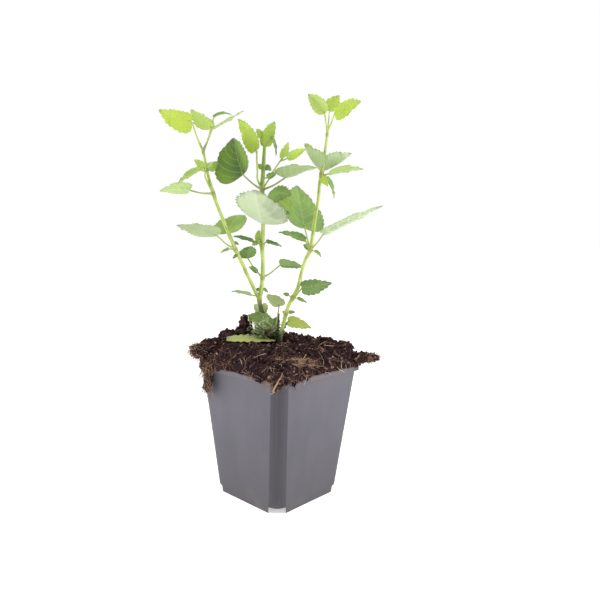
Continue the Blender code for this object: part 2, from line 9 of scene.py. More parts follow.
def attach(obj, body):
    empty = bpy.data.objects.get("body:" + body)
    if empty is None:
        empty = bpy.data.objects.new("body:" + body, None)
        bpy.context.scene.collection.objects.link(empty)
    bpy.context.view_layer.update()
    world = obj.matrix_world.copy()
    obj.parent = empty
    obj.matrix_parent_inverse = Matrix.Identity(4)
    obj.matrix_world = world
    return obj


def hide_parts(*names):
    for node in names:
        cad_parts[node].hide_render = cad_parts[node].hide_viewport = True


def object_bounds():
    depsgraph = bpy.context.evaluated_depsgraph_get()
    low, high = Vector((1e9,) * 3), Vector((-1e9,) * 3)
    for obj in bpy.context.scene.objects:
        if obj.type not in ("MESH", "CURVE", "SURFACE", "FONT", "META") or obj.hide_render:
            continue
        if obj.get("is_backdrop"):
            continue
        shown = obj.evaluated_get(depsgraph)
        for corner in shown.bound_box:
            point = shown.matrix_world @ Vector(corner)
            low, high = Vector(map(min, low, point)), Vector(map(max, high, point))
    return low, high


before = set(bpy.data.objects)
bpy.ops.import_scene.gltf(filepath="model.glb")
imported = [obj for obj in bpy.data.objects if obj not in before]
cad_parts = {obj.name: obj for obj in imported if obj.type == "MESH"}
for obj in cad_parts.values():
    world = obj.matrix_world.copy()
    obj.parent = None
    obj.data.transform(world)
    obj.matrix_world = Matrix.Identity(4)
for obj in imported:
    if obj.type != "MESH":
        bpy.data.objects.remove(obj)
cadLow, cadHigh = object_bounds()
mm = 0.001
chance = np.random.default_rng(41)  # every random draw, in a fixed order
print("frame loaded:", sorted(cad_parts))


def addObject(name, data):
    made = bpy.data.objects.new(name, data)
    bpy.context.scene.collection.objects.link(made)
    return made


# camera and light
view = {
    "place": (0.30713, -0.31112, 0.19628),
    "ahead": (-0.67432, 0.73075, -0.10626),
    "right": (0.73314, 0.67972, 0.02204),
    "lens": 34.62,
    "nearest": 0.01,
}


def makeCamera():
    ahead, right = Vector(view["ahead"]).normalized(), Vector(view["right"]).normalized()
    up = right.cross(ahead)
    camera = addObject("camera", bpy.data.cameras.new("camera"))
    camera.data.lens = view["lens"]
    camera.data.clip_start = view["nearest"]
    turn = Matrix((right, up, -ahead)).transposed().to_4x4()
    turn.translation = Vector(view["place"])
    camera.matrix_world = turn
    bpy.context.scene.camera = camera
    print("camera placed")


studio = {
    "ambient": 0.66,
    "boxes": [  # name, heading round the pot, height, distance, size, power
        ("leftBox", 215, 0.35, 0.9, 0.8, 9.0),
        ("rightBox", 40, 0.35, 0.9, 0.8, 9.0),
        ("topBox", 300, 1.1, 0.3, 0.9, 5.0),
    ],
    "aimHeight": 0.14,
    "floorTone": 0.9,
    "floorGlow": 0.5,
    "floorHalf": 30,
}


def makeStudio():
    scene = bpy.context.scene
    scene.view_settings.view_transform = "Standard"
    world = bpy.data.worlds.new("studio")
    world.use_nodes = True
    scene.world = world
    nodes, links = world.node_tree.nodes, world.node_tree.links
    backdrop = nodes["Background"]
    backdrop.inputs["Color"].default_value = (1, 1, 1, 1)
    seen = nodes.new("ShaderNodeLightPath")
    level = nodes.new("ShaderNodeMapRange")
    links.new(seen.outputs["Is Camera Ray"], level.inputs["Value"])
    level.inputs["To Min"].default_value = studio["ambient"]
    level.inputs["To Max"].default_value = 1.0
    links.new(level.outputs["Result"], backdrop.inputs["Strength"])
    for name, heading, height, distance, size, power in studio["boxes"]:
        lamp = bpy.data.lights.new(name, "AREA")
        lamp.size, lamp.energy = size, power
        box = addObject(name, lamp)
        away = Vector((cos(radians(heading)), sin(radians(heading)), 0)) * distance
        box.location = away + Vector((0, 0, height))
        aim = box.location - Vector((0, 0, studio["aimHeight"]))
        box.rotation_mode = "QUATERNION"
        box.rotation_quaternion = aim.to_track_quat("Z", "Y")
    print("studio lit with", len(studio["boxes"]), "boxes")


# finishes
class Value:  # a socket that can stand in a sum
    def __init__(self, finish, socket):
        self.finish, self.socket = finish, socket

    def maths(self, operation, first, second=0.0):
        return self.finish.node("ShaderNodeMath", {"operation": operation}, {0: first, 1: second})

    def __add__(self, other):
        return self.maths("ADD", self, other)

    __radd__ = __add__

    def __sub__(self, other):
        return self.maths("SUBTRACT", self, other)

    def __rsub__(self, other):
        return self.maths("SUBTRACT", other, self)

    def __mul__(self, other):
        return self.maths("MULTIPLY", self, other)

    __rmul__ = __mul__

    def __abs__(self):
        return self.maths("ABSOLUTE", self)

    def least(self, other):
        return self.maths("MINIMUM", self, other)

    def part(self):  # what follows the decimal point
        return self.maths("FRACT", self)

    def fade(self, low, high):  # 0 at low, 1 at high, eased between
        return self.finish.node("ShaderNodeMapRange", {"interpolation_type": "SMOOTHSTEP"},
                                {"Value": self, "From Min": low, "From Max": high})


class Finish:  # a material under a plain name
    def __init__(self, name):
        self.material = bpy.data.materials.new(name)
        self.material.use_nodes = True
        self.tree = self.material.node_tree
        self.tree.nodes.clear()

    def node(self, kind, settings, inputs, output=0):
        made = self.tree.nodes.new(kind)
        for name, setting in settings.items():
            if name == "stops":
                ramp = made.color_ramp
                while len(ramp.elements) < len(setting):
                    ramp.elements.new(1.0)
                for stop, (place, colour) in zip(ramp.elements, setting):
                    stop.position, stop.color = place, (*colour, 1.0)
            else:
                setattr(made, name, setting)
        for name, value in inputs.items():
            if isinstance(value, Value):
                self.tree.links.new(value.socket, made.inputs[name])
            else:
                made.inputs[name].default_value = value
        return Value(self, made.outputs[output]) if made.outputs else None

    def place(self):
        return self.node("ShaderNodeTexCoord", {}, {}, "Object")

    def drawnUp(self, shrink):  # places whose heights are shrunk, so that a pattern runs upwards
        return self.node("ShaderNodeMapping", {}, {"Vector": self.place(), "Scale": (1, 1, shrink)})

    def grain(self, scale, detail, place=None):  # scale is in grains for each metre
        return self.node("ShaderNodeTexNoise", {},
                         {"Vector": place or self.place(), "Scale": scale, "Detail": detail})

    def point(self, name):  # a value that the mesh carries at each point
        return self.node("ShaderNodeAttribute", {"attribute_name": name}, {}, "Fac")

    def ramp(self, factor, stops):
        return self.node("ShaderNodeValToRGB", {"stops": stops}, {"Fac": factor})

    def mix(self, factor, first, second):  # 6, 7 and output 2 are the node's colour sockets
        inputs = {0: factor}
        for socket, colour in ((6, first), (7, second)):
            inputs[socket] = colour if isinstance(colour, Value) else (*colour, 1.0)
        return self.node("ShaderNodeMix", {"data_type": "RGBA"}, inputs, 2)

    def bump(self, height, distance, strength):
        return self.node("ShaderNodeBump", {},
                         {"Height": height, "Distance": distance, "Strength": strength})

    def shader(self, **inputs):
        named = {name.replace("_", " "): value for name, value in inputs.items()}
        return self.node("ShaderNodeBsdfPrincipled", {}, named)

    def show(self, shader):
        self.node("ShaderNodeOutputMaterial", {}, {"Surface": shader})
        return self.material


leafPaint = {
    "upper": [  # the face that looks up, from young to ripe
        (0.0, (0.51, 0.63, 0.09)), (0.35, (0.36, 0.51, 0.12)),
        (0.7, (0.19, 0.32, 0.075)), (1.0, (0.085, 0.175, 0.03)),
    ],
    "lower": [
        (0.0, (0.52, 0.64, 0.115)), (0.35, (0.45, 0.59, 0.20)),
        (0.7, (0.48, 0.60, 0.33)), (1.0, (0.56, 0.65, 0.43)),
    ],
    # a washed-out pale green, partly the leaf's own and partly painted light shining through the
    # blade
    "pale": (0.64, 0.74, 0.47),
    "lush": (0.17, 0.31, 0.015),
    "dry": (0.54, 0.47, 0.19),
    # the colour of the painted shade on the blades
    "shade": (0.07, 0.13, 0.07),
    "veinAbove": (0.42, 0.54, 0.20),
    "veinBelow": (0.72, 0.79, 0.58),
    "rim": (0.14, 0.17, 0.08),
    "tip": (0.24, 0.23, 0.19),
    "down": (0.60, 0.68, 0.48),
    "grains": [(55, 2), (170, 3), (900, 2)],
    "net": 620.0,  # cells of the vein net for each metre
    "heart": (1.5, 9.0),  # painted shade over the middle of a lush leaf, in millimetres from the midrib
    "midrib": (0.15, 0.75),
    "relief": 0.00025,
}
leafSorts = {  # colour of the light through a blade, how much comes through, how rough it is
    "Young": ((0.56, 0.66, 0.13), 0.38, 0.25),
    "Ripe": ((0.32, 0.42, 0.13), 0.28, 0.5),
}


def leafFinish(name, glow, through, texture):  # thin blades: their two faces, veins, teeth and tips
    finish, paint = Finish(name), leafPaint
    age, under, pale, lush, dry = map(finish.point, ("age", "under", "pale", "lush", "dry"))
    along, side, row, offset, vein = map(finish.point, ("along", "side", "row", "offset", "vein"))
    broad, patches, fine = [finish.grain(*grain) for grain in paint["grains"]]
    ripeness = age + (broad - 0.5) * (age * 0.55 + 0.1) + (patches - 0.5) * (age * 0.2 + 0.05)
    upper, lower = [finish.ramp(ripeness, paint[face]) for face in ("upper", "lower")]
    colour = finish.mix(under, upper, lower)
    # pale is partly the leaf's own washed-out green and partly painted light through the blade
    for amount, tint in ((pale, "pale"), (lush, "lush"), (dry, "dry")):
        colour = finish.mix(amount, colour, paint[tint])
    # painted shade: broad random patches on ripe leaves, and the middle of a lush leaf near its
    # midrib
    heart = lush * (1 - offset.fade(*paint["heart"])) * 0.9
    colour = finish.mix(age * broad.fade(0.48, 0.7) * 0.4 + heart, colour, paint["shade"])
    midrib = 1 - offset.fade(*paint["midrib"])
    branch = abs(row.part() - 0.5).fade(0.38, 0.49) * (1 - side.fade(0.7, 0.98))
    netting = finish.node("ShaderNodeTexVoronoi", {"feature": "DISTANCE_TO_EDGE"},
                          {"Vector": finish.place(), "Scale": paint["net"]})
    net = 1 - netting.fade(0.0, 0.3)
    veins = (midrib + branch * 0.8 + net * age * 0.1).least(1.0)
    veinColour = finish.mix(under, paint["veinAbove"], paint["veinBelow"])
    colour = finish.mix(veins * vein * (under * 0.15 + 0.3), colour, veinColour)
    rim = side.fade(0.86, 1.0) * (age * 0.35 + 0.15) * (1 - pale * 0.6)
    tip = along.fade(0.84, 1.0) * 0.6
    down = fine.fade(0.35, 0.75) * 0.08
    for amount, tint in ((rim, "rim"), (tip, "tip"), (down, "down")):
        colour = finish.mix(amount, colour, paint[tint])
    height = fine * 0.2 + net * -0.15 + veins * (under * 2 - 1)  # sunk above, raised below
    normal = finish.bump(height, paint["relief"], texture)
    solid = finish.shader(Base_Color=colour, Roughness=0.58 + patches * 0.15, Normal=normal,
                          Specular_IOR_Level=0.18)
    lit = finish.node("ShaderNodeBsdfTranslucent", {}, {"Color": (*glow, 1.0)})
    both = finish.node("ShaderNodeMixShader", {}, {0: through - veins * 0.1, 1: solid, 2: lit})
    return finish.show(both)


stemPaint = {
    "green": [(0.3, (0.24, 0.31, 0.06)), (0.5, (0.38, 0.47, 0.11)), (0.75, (0.50, 0.58, 0.19))],
    "deep": (0.19, 0.30, 0.025),
    "knot": (0.16, 0.155, 0.055),
    "bark": [
        (0.3, (0.028, 0.027, 0.012)), (0.6, (0.080, 0.082, 0.032)), (0.8, (0.16, 0.17, 0.075)),
    ],
    "relief": 0.0003,
}


def stemFinish(name):  # green stalks with painted shade in their grooves, brownish at the joints, that turn woody at the foot
    finish, paint = Finish(name), stemPaint
    wood, ridge, knot, deep = map(finish.point, ("wood", "ridge", "knot", "deep"))
    streaks = finish.grain(700, 3, finish.drawnUp(0.12))
    blotches = finish.grain(120, 3)
    # painted shade: the grooves between the ridges are darker, the ridges lighter
    colour = finish.ramp(blotches + ridge * 0.12, paint["green"])
    colour = finish.mix(deep * 0.75, colour, paint["deep"])
    colour = finish.mix(knot * 0.6, colour, paint["knot"])
    woody = (wood + (blotches - 0.5) * 0.5).fade(0.25, 0.8)
    colour = finish.mix(woody, colour, finish.ramp(streaks, paint["bark"]))
    normal = finish.bump(streaks + blotches * 0.5, paint["relief"], 0.5)
    return finish.show(finish.shader(Base_Color=colour, Roughness=0.5 + wood * 0.3, Normal=normal))


strandPaint = {
    "tuft": {
        "stops": [
            (0.1, (0.028, 0.026, 0.014)), (0.4, (0.12, 0.125, 0.055)),
            (0.7, (0.29, 0.32, 0.17)), (1.0, (0.50, 0.54, 0.36)),
        ],
        "grain": 420,
        "texture": 0.5,
    },
    "fibre": {
        "stops": [
            (0.1, (0.05, 0.026, 0.02)), (0.45, (0.17, 0.088, 0.055)),
            (0.7, (0.34, 0.22, 0.14)), (1.0, (0.62, 0.50, 0.36)),
        ],
        "grain": 1100,
        "texture": 0.6,
    },
}


def strandFinish(name):  # the fuzzy growth round the basal leaves, and the fibres in the peat
    finish, paint = Finish(name), strandPaint[name]
    mottle = finish.grain(paint["grain"], 3)
    colour = finish.ramp(finish.point("tone") + (mottle - 0.5) * 0.3, paint["stops"])
    normal = finish.bump(mottle, 0.0002, paint["texture"])
    return finish.show(finish.shader(Base_Color=colour, Roughness=0.8, Normal=normal,
                                     Specular_IOR_Level=0.3))


peatPaint = {
    "stops": [  # near black, reddish brown and straw
        (0.05, (0.010, 0.004, 0.005)), (0.45, (0.037, 0.0165, 0.0185)),
        (0.7, (0.110, 0.056, 0.050)), (0.86, (0.22, 0.13, 0.10)), (1.0, (0.42, 0.30, 0.22)),
    ],
    "relief": 0.0008,
}


def peatFinish(name):
    finish, paint = Finish(name), peatPaint
    broad, fine = finish.grain(260, 5), finish.grain(1500, 4)
    tone = finish.point("tone") + (broad - 0.5) * 0.45 + (fine - 0.5) * 0.3
    normal = finish.bump(broad + fine * 0.6, paint["relief"], 0.9)
    return finish.show(finish.shader(Base_Color=finish.ramp(tone, paint["stops"]), Normal=normal,
                                     Roughness=0.82 + fine * 0.15, Specular_IOR_Level=0.1))


potForm = {  # outside measures of the pot, in millimetres
    "footHalf": 34.1,
    "taper": 0.1031,  # that the half width gains for each millimetre of height
    "corner": 9.5,
    "lipFoot": 95.7,
    "lipHalf": 45.0,
    "lipCorner": 5.2,
    "rim": 100.0,
    "edge": 0.15,
}
potPaint = {
    "plain": [
        (0.4, (0.051, 0.0465, 0.063)), (0.5, (0.0615, 0.056, 0.0765)),
        (0.62, (0.073, 0.0665, 0.090)),
    ],
    "lower": (0.053, 0.048, 0.057),
    # the colour of the painted shade on the rounded corners
    "corner": (0.028, 0.025, 0.0335),
    "soiled": (0.16, 0.115, 0.085),
    "scuffed": (0.14, 0.13, 0.12),
    "speckle": (0.16, 0.155, 0.17),
    "lowerTop": 0.07,  # heights in metres
    "cornerShadeFrom": (0.0246, 0.0264),  # painted shade on the rounded corners, from the middle of a face, at the foot
    "soiledFrom": (0.086, 0.099),
    "scuffTop": 0.03,
    "relief": 0.00012,
}


def potFinish(name):  # dusty injection-moulded plastic, with painted shade darkening its rounded corners
    finish, paint = Finish(name), potPaint
    place = finish.place()
    across, along, height = [finish.node("ShaderNodeSeparateXYZ", {}, {"Vector": place}, axis)
                             for axis in "XYZ"]
    cloud, speckle = finish.grain(28, 4), finish.grain(1600, 2)
    flow = finish.grain(90, 3, finish.drawnUp(0.1))
    colour = finish.ramp(cloud * 0.5 + flow * 0.3 + height * 1.2 + 0.035, paint["plain"])
    lower = (1 - height.fade(0.0, paint["lowerTop"])) * 0.7
    fromMiddle = abs(across).least(abs(along)) - height * potForm["taper"]
    # painted shade: darker on the rounded corners
    corner = fromMiddle.fade(*paint["cornerShadeFrom"]) * 0.85
    soiled = finish.grain(140, 5).fade(0.42, 0.68) * height.fade(*paint["soiledFrom"])
    scuffed = finish.grain(75, 5).fade(0.5, 0.75) * (1 - height.fade(0.0, paint["scuffTop"])) * 0.25
    specks = speckle.fade(0.6, 0.8) * 0.15
    for amount, tint in ((lower, "lower"), (corner, "corner"), (soiled * 0.5, "soiled"),
                         (scuffed, "scuffed"), (specks, "speckle")):
        colour = finish.mix(amount, colour, paint[tint])
    normal = finish.bump(speckle + flow * 0.6, paint["relief"], 0.5)
    return finish.show(finish.shader(Base_Color=colour, Normal=normal,
                                     Roughness=0.42 + cloud * 0.2 + soiled * 0.25))


def floorFinish(name):
    finish, tone = Finish(name), studio["floorTone"]
    return finish.show(finish.shader(Base_Color=(tone, tone, tone, 1), Roughness=0.9,
                                     Emission_Color=(1, 1, 1, 1),
                                     Emission_Strength=studio["floorGlow"]))


# mesh helpers
askew = (0.31, 0.87, 0.38)  # a direction that no stem or leaf runs in


class Shape:  # gathers points, faces and point values, then becomes one piece
    def __init__(self):
        self.points, self.faces, self.values, self.count = [], [], {}, 0

    def add(self, points, faces, **values):
        self.points.append(points)
        self.faces += (np.asarray(faces) + self.count).tolist()
        for name, value in values.items():
            self.values.setdefault(name, []).append(np.broadcast_to(value, len(points)))
        self.count += len(points)

    def loft(self, loops, **values):  # closed loops of points in a row, with both ends capped
        rows, size = loops.shape[:2]
        index = np.arange(rows * size).reshape(rows, size)
        after = np.roll(index, -1, axis=1)
        sides = np.stack([index[:-1], after[:-1], after[1:], index[1:]], axis=-1).reshape(-1, 4)
        half = np.arange(size // 2 - 1)
        cap = np.stack([half, half + 1, size - 2 - half, size - 1 - half], axis=-1)
        faces = np.vstack([sides, index[0][cap[:, ::-1]], index[-1][cap]])
        spread = {name: np.broadcast_to(value, (rows, size)).ravel()
                  for name, value in values.items()}
        self.add(loops.reshape(-1, 3), faces, **spread)

    def build(self, name, finish, slot, nodes, angle):  # edges sharper than angle stay crisp
        mesh = bpy.data.meshes.new(name)
        mesh.from_pydata(np.vstack(self.points) * mm, [], self.faces)
        for key, parts in self.values.items():
            markPoints(mesh, key, np.concatenate(parts))
        cage = bmesh.new()
        cage.from_mesh(mesh)
        bmesh.ops.recalc_face_normals(cage, faces=cage.faces)
        cage.to_mesh(mesh)
        cage.free()
        if angle:
            mesh.shade_smooth()
            mesh.set_sharp_from_angle(angle=radians(angle))
        seat(addObject(name, mesh), finish, slot, nodes)


def markPoints(mesh, name, values):
    layer = mesh.attributes.new(name, "FLOAT", "POINT")
    layer.data.foreach_set("value", values.astype(np.float32))


def readOut(items, name, kind=float):  # three numbers from each item
    values = np.empty(len(items) * 3, kind)
    items.foreach_get(name, values)
    return values.reshape(-1, 3)


def seat(piece, finish, slot, nodes):
    piece.data.materials.clear()
    piece.data.materials.append(finish)
    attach(piece, "root")
    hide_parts(*nodes)
    triangles = sum(len(face.vertices) - 2 for face in piece.data.polygons)
    print(piece.name, triangles, "triangles")


def unit(vectors):
    return vectors / np.linalg.norm(vectors, axis=-1, keepdims=True)


def direction(heading, pitch):
    turn, rise = np.radians(heading), np.radians(pitch)
    parts = np.cos(turn) * np.cos(rise), np.sin(turn) * np.cos(rise), np.sin(rise)
    return np.stack(np.broadcast_arrays(*parts), axis=-1)


def smoothRoute(points, step):  # a curve through points that may carry a radius as well
    points = np.array(points, float)
    ends = np.vstack([2 * points[0] - points[1], points, 2 * points[-1] - points[-2]])
    made = []
    for a, b, c, d in zip(ends, ends[1:], ends[2:], ends[3:]):
        count = max(2, round(np.linalg.norm((c - b)[:3]) / step))
        for t in np.linspace(0, 1, count, endpoint=False):
            made.append(0.5 * (2 * b + (c - a) * t + (2 * a - 5 * b + 4 * c - d) * t ** 2
                               + (3 * b - a - 3 * c + d) * t ** 3))
    return np.array(made + [points[-1]])


def tubeLoops(places, radii, sides, square=0.0):
    ahead = unit(np.gradient(places, axis=0))
    side = unit(np.cross(ahead[0], askew))
    angles = np.arange(sides) * 2 * pi / sides
    swell = 1 + square * np.cos(4 * angles)
    sideways, upward = np.cos(angles) * swell, np.sin(angles) * swell
    loops = []
    for place, way, radius in zip(places, ahead, radii):
        side = unit(side - way * side.dot(way))
        ring = np.outer(sideways, side) + np.outer(upward, np.cross(way, side))
        loops.append(place + ring * radius)
    return np.array(loops), np.cos(4 * angles)


# stems
surface = 119  # height of the soil round the stems
stems = {  # x, y, z and radius at each bend, in millimetres
    "main": [
        (-11, -2, 97, 1.9), (-11, -2, 119, 1.8), (-11, -4, 127, 1.6), (-10, -7, 135, 1.5),
        (-11, -10, 142, 1.5), (-12, -11, 149, 1.75), (-11, -11, 153, 1.7), (-10, -10, 165, 1.7),
        (-11, -9, 178, 1.5), (-12, -9, 191, 1.8), (-12, -8, 206, 1.5), (-13, -7, 219, 1.4),
        (-15, -7, 232, 1.7), (-15, -6, 248, 1.5), (-15, -5, 265, 1.2),
    ],
    "left": [
        (-12, -11, 149, 1.4), (-14, -17, 161, 1.4), (-16, -20, 168, 1.4), (-18, -23, 176, 1.4),
        (-22, -27, 187, 1.6), (-24, -29, 194, 1.4), (-27, -31, 202, 1.3), (-30, -33, 210, 1.3),
        (-34, -35, 220, 1.2), (-37, -36, 228, 1.4), (-40, -38, 239, 1.1), (-42, -39, 249, 1.0),
        (-45, -40, 260, 0.9),
    ],
    "side": [(-15, -7, 232, 0.8), (-16, -11, 240, 0.7), (-15, -12, 245, 0.7), (-15, -13, 260, 0.6)],
    "spray": [(-15, -7, 232, 0.7), (-13, -2, 240, 0.6), (-13, 2, 246, 0.6), (-10, 8, 256, 0.5)],
    "axil": [
        (-37, -36, 228, 0.8), (-38, -40, 235, 0.7), (-38, -43, 240, 0.6), (-37, -43, 245, 0.5),
    ],
    "right": [
        (3, -3, 97, 1.7), (3, -3, 119, 1.7), (4, -2, 127, 1.6), (5, -1, 133, 1.5),
        (7, -1, 140, 1.7), (9, 0, 147, 1.5), (11, 2, 152, 1.7), (14, 4, 160, 1.5),
        (16, 5, 170, 1.4), (18, 7, 180, 1.4), (21, 9, 188, 1.7), (22, 10, 198, 1.4),
        (23, 11, 210, 1.3), (24, 13, 224, 1.2), (24, 14, 234, 1.2), (24, 16, 244, 1.5),
        (26, 17, 260, 1.1), (27, 18, 274, 1.0),
    ],
    "stub": [(-1, -1, 107, 0.9), (-1, -1, 119, 0.9), (-1, -1, 130, 0.8), (-1, -1, 139, 0.9)],
}
stemLook = {
    "sides": 16,
    "step": 1.0,
    "square": 0.07,
    "knots": {
        "main": (142, 149, 166, 191, 232, 248), "left": (187, 228, 258),
        "right": (140, 152, 188, 244, 272),
    },
    "knotSwell": 0.2,
    "knotLength": 1.7,
    "unevenness": 0.025,  # of the radius
    "woodTop": {"main": 156, "right": 133, "stub": 206},
    "woodFade": 16,  # over which wood turns to green
    "deepFrom": {"main": 233},  # where the stem's green is darkest
    "deepFade": 5,
    "hairs": 9,  # for each millimetre of stem
    "hairLength": 0.45,
    "hairWidth": 0.035,
}


def addStem(shape, fuzz, name):
    route = smoothRoute(stems[name], stemLook["step"])
    height = route[:, 2]
    knot = np.zeros(len(height))
    for level in stemLook["knots"].get(name, ()):
        knot += np.exp(-((height - level) / stemLook["knotLength"]) ** 2)
    radii = route[:, 3] * (1 + stemLook["knotSwell"] * knot)
    radii *= 1 + stemLook["unevenness"] * np.sin(height * 1.7) * np.sin(height * 0.53)
    loops, ridge = tubeLoops(route[:, :3], radii, stemLook["sides"], stemLook["square"])
    woodTop, deepFrom = stemLook["woodTop"].get(name, 0), stemLook["deepFrom"].get(name, inf)
    wood = np.clip((woodTop - height) / stemLook["woodFade"], 0, 1)
    deep = np.clip((height - deepFrom) / stemLook["deepFade"], 0, 1)
    shape.loft(loops, wood=wood[:, None], ridge=ridge, knot=knot[:, None], deep=deep[:, None])
    if fuzz is not None:
        addHairs(fuzz, route[:, :3], radii, height > surface + 2)


def addHairs(fuzz, places, radii, grown):
    ahead = unit(np.gradient(places, axis=0))
    for place, way, radius in zip(places[grown], ahead[grown], radii[grown]):
        side = unit(np.cross(way, askew))
        for angle in chance.uniform(0, 2 * pi, stemLook["hairs"]):
            out = side * cos(angle) + np.cross(way, side) * sin(angle)
            lean = unit(out + way * chance.uniform(-0.5, 0.3))
            root = place + out * (radius * 0.95) + way * chance.uniform(-0.5, 0.5)
            addHair(fuzz, root, lean, way)


def addHair(fuzz, root, lean, way):  # a thin three-sided spike
    width = stemLook["hairWidth"]
    spread = np.cross(lean, way) * width
    back = root - spread * 0.5
    tip = root + lean * stemLook["hairLength"] * chance.uniform(0.6, 1.3)
    points = np.array([root + spread, back + way * width * 0.9, back - way * width * 0.9, tip])
    fuzz.add(points, [[0, 1, 3], [1, 2, 3], [2, 0, 3], [0, 2, 1]],
             wood=0.0, ridge=1.0, knot=0.0, deep=0.0)


def stemPoint(name, height):
    for low, high in zip(stems[name], stems[name][1:]):
        if low[2] <= height <= high[2]:
            share = (height - low[2]) / (high[2] - low[2])
            return np.array(low[:3], float) * (1 - share) + np.array(high[:3], float) * share
    return np.array(stems[name][-1][:3], float)


# leaves: the stem and the height of the joint, the stalk (heading, length, rise), the blade
# (heading, pitch, length, width), its turn (roll, fold, curl), its age from 0 young to 1 ripe, how
# washed out its green is (partly painted light through the blade), the backward sweep of its base
# and how far up it is widest, then how dry, dark green (with painted shade in its middle) and
# veined it looks, how wavy and toothed its edge is, and how pointed its ends
def leaf(stem, joint, stalk, blade, turn, age, pale=0.0, lobe=0.12, peak=0.29, dry=0.0, lush=0.0,
         vein=1.0, crinkle=1.0, waves=2.3, bite=1.0, pointed=1.0):
    return dict(locals())


crown = (-2, -6, 118)  # where the basal leaves start
mainLeaves = [
    leaf("main", 152, (255, 8, 10), (250, 10, 16, 8), (-20, 5, 10), 0.6, 0.3),
    leaf("main", 157, (275, 2, 5), (185, -15, 5, 3), (-60, 10, 15), 0.9),
    leaf("main", 157, (45, 2, 20), (60, -40, 5, 3), (60, 10, 10), 0.9),
    leaf("left", 187, (258, 18, 33), (197, 11, 38, 23), (-19, 5, 10), 0.45, 0.85, 0.0),
    leaf("left", 187, (165, 18, 40), (125, 25, 37, 28), (-10, 10, 20), 0.45),
    leaf("left", 187, (250, 5, 5), (205, -25, 8, 3), (-60, 10, 10), 0.5),
    leaf("left", 190, (130, 4, 25), (85, -20, 5, 3), (60, 10, 50), 0.6),
    leaf("left", 184, (320, 2, -30), (210, -40, 5, 3), (-60, 10, 10), 0.9),
    leaf("left", 228, (245, 18, 5), (250, -5, 22, 18), (25, 5, 25), 0.4, 0.35),
    leaf("left", 260, (275, 22, 60), (240, 15, 24, 21), (-60, -15, -20), 0.0),
    leaf("left", 259, (90, 20, 64), (214, 40, 22, 18), (-33, -5, -12), 0.2, 0.15, 0.09, 0.41),
    leaf("left", 258, (112, 33, 61), (60, 10, 15, 4), (40, 20, 60), 0.6),
    leaf("left", 259.5, (5, 19, 55), (45, 30, 26, 16), (5, -5, 0), 0.4, 0.4),
    leaf("axil", 244, (250, 5, 5), (235, -35, 19, 10), (-30, 10, 15), 0.35, 0.1),
    leaf("axil", 244, (235, 2, 55), (190, 35, 12, 6), (-60, 20, 15), 0.2),
    leaf("axil", 244, (120, 5, 25), (350, 35, 8, 5), (-15, 10, 15), 0.4),
    leaf("axil", 244, (125, 9, 10), (85, 40, 11, 7), (60, 10, 15), 0.3),
    leaf("main", 166, (60, 17, 35), (65, -5, 20, 12), (35, 15, 5), 0.8, 0.15),
    leaf("main", 166, (190, 20, 45), (135, 30, 18, 14), (-10, 15, 20), 0.85, 0.1),
    leaf("main", 166, (250, 6, 45), (170, 15, 13, 4), (-60, 15, 25), 0.9),
    leaf("main", 191, (315, 20, 50), (307, 38, 36, 42), (-18, 10, -10), 1.0, 0.1, 0.05, 0.36,
         vein=0.8, bite=1.6),
    leaf("main", 191, (255, 8, 20), (255, 10, 17, 8), (-30, 0, 10), 0.95),
    leaf("main", 191, (60, 4, 30), (60, -15, 13, 6), (35, 10, 10), 0.95),
    leaf("main", 191, (260, 5, 40), (130, 45, 11, 5), (5, 15, 25), 0.4),
    leaf("main", 191, (290, 5, 20), (185, -15, 8, 6), (-60, 15, 5), 0.5),
    leaf("main", 232, (229, 18, 37), (166, 60, 34, 39), (-64, 39, -19), 0.74, 0.0, 0.35,
         vein=2.2, lush=0.6),
    leaf("main", 230, (10, 6, -30), (0, 0, 25, 17), (60, -15, 40), 0.65),
    leaf("main", 224, (2, 13, 10), (56, -40, 17, 12), (55, 12, 10), 0.38, 0.0, 0.0, 0.43),
    leaf("main", 232, (27, 20, 26), (0, 10, 32, 26), (-4, 17, 10), 0.55, 0.2, 0.16),
    leaf("main", 263, (50, 2, 55), (110, 55, 26, 11), (15, 20, 25), 0.25),
    leaf("main", 264, (270, 7, 65), (165, 40, 12, 5), (-50, 20, 25), 0.2),
    leaf("main", 264, (65, 10, 55), (75, -75, 15, 6), (50, 5, 30), 0.7),
    leaf("main", 248, (265, 1, -5), (175, 30, 7, 4), (-60, 15, 20), 0.6),
    leaf("main", 248, (100, 3, 35), (5, -30, 7, 5), (60, 5, 15), 0.7),
    leaf("main", 241, (20, 4, 0), (95, 25, 12, 5), (55, 15, 5), 0.7),
    leaf("side", 259, (290, 2, 55), (180, 50, 33, 13), (-80, 15, 20), 0.1),
    leaf("spray", 256, (45, 2, 45), (110, 55, 16, 8), (-15, 5, 15), 0.2),
    leaf("spray", 255, (60, 6, 20), (90, 25, 23, 7), (70, 20, 5), 0.2),
    leaf("main", 133, (225, 5, 70), (130, 30, 15, 9), (-15, 20, 25), 0.4, 0.4, dry=0.35),
    leaf("main", 123, (160, 11, 80), (170, 30, 10, 7), (-60, 15, 15), 0.4, 0.35, dry=0.35),
    leaf("main", 135, (225, 7, 55), (170, 25, 9, 6), (-60, 15, 20), 0.5, 0.3, dry=0.2),
]
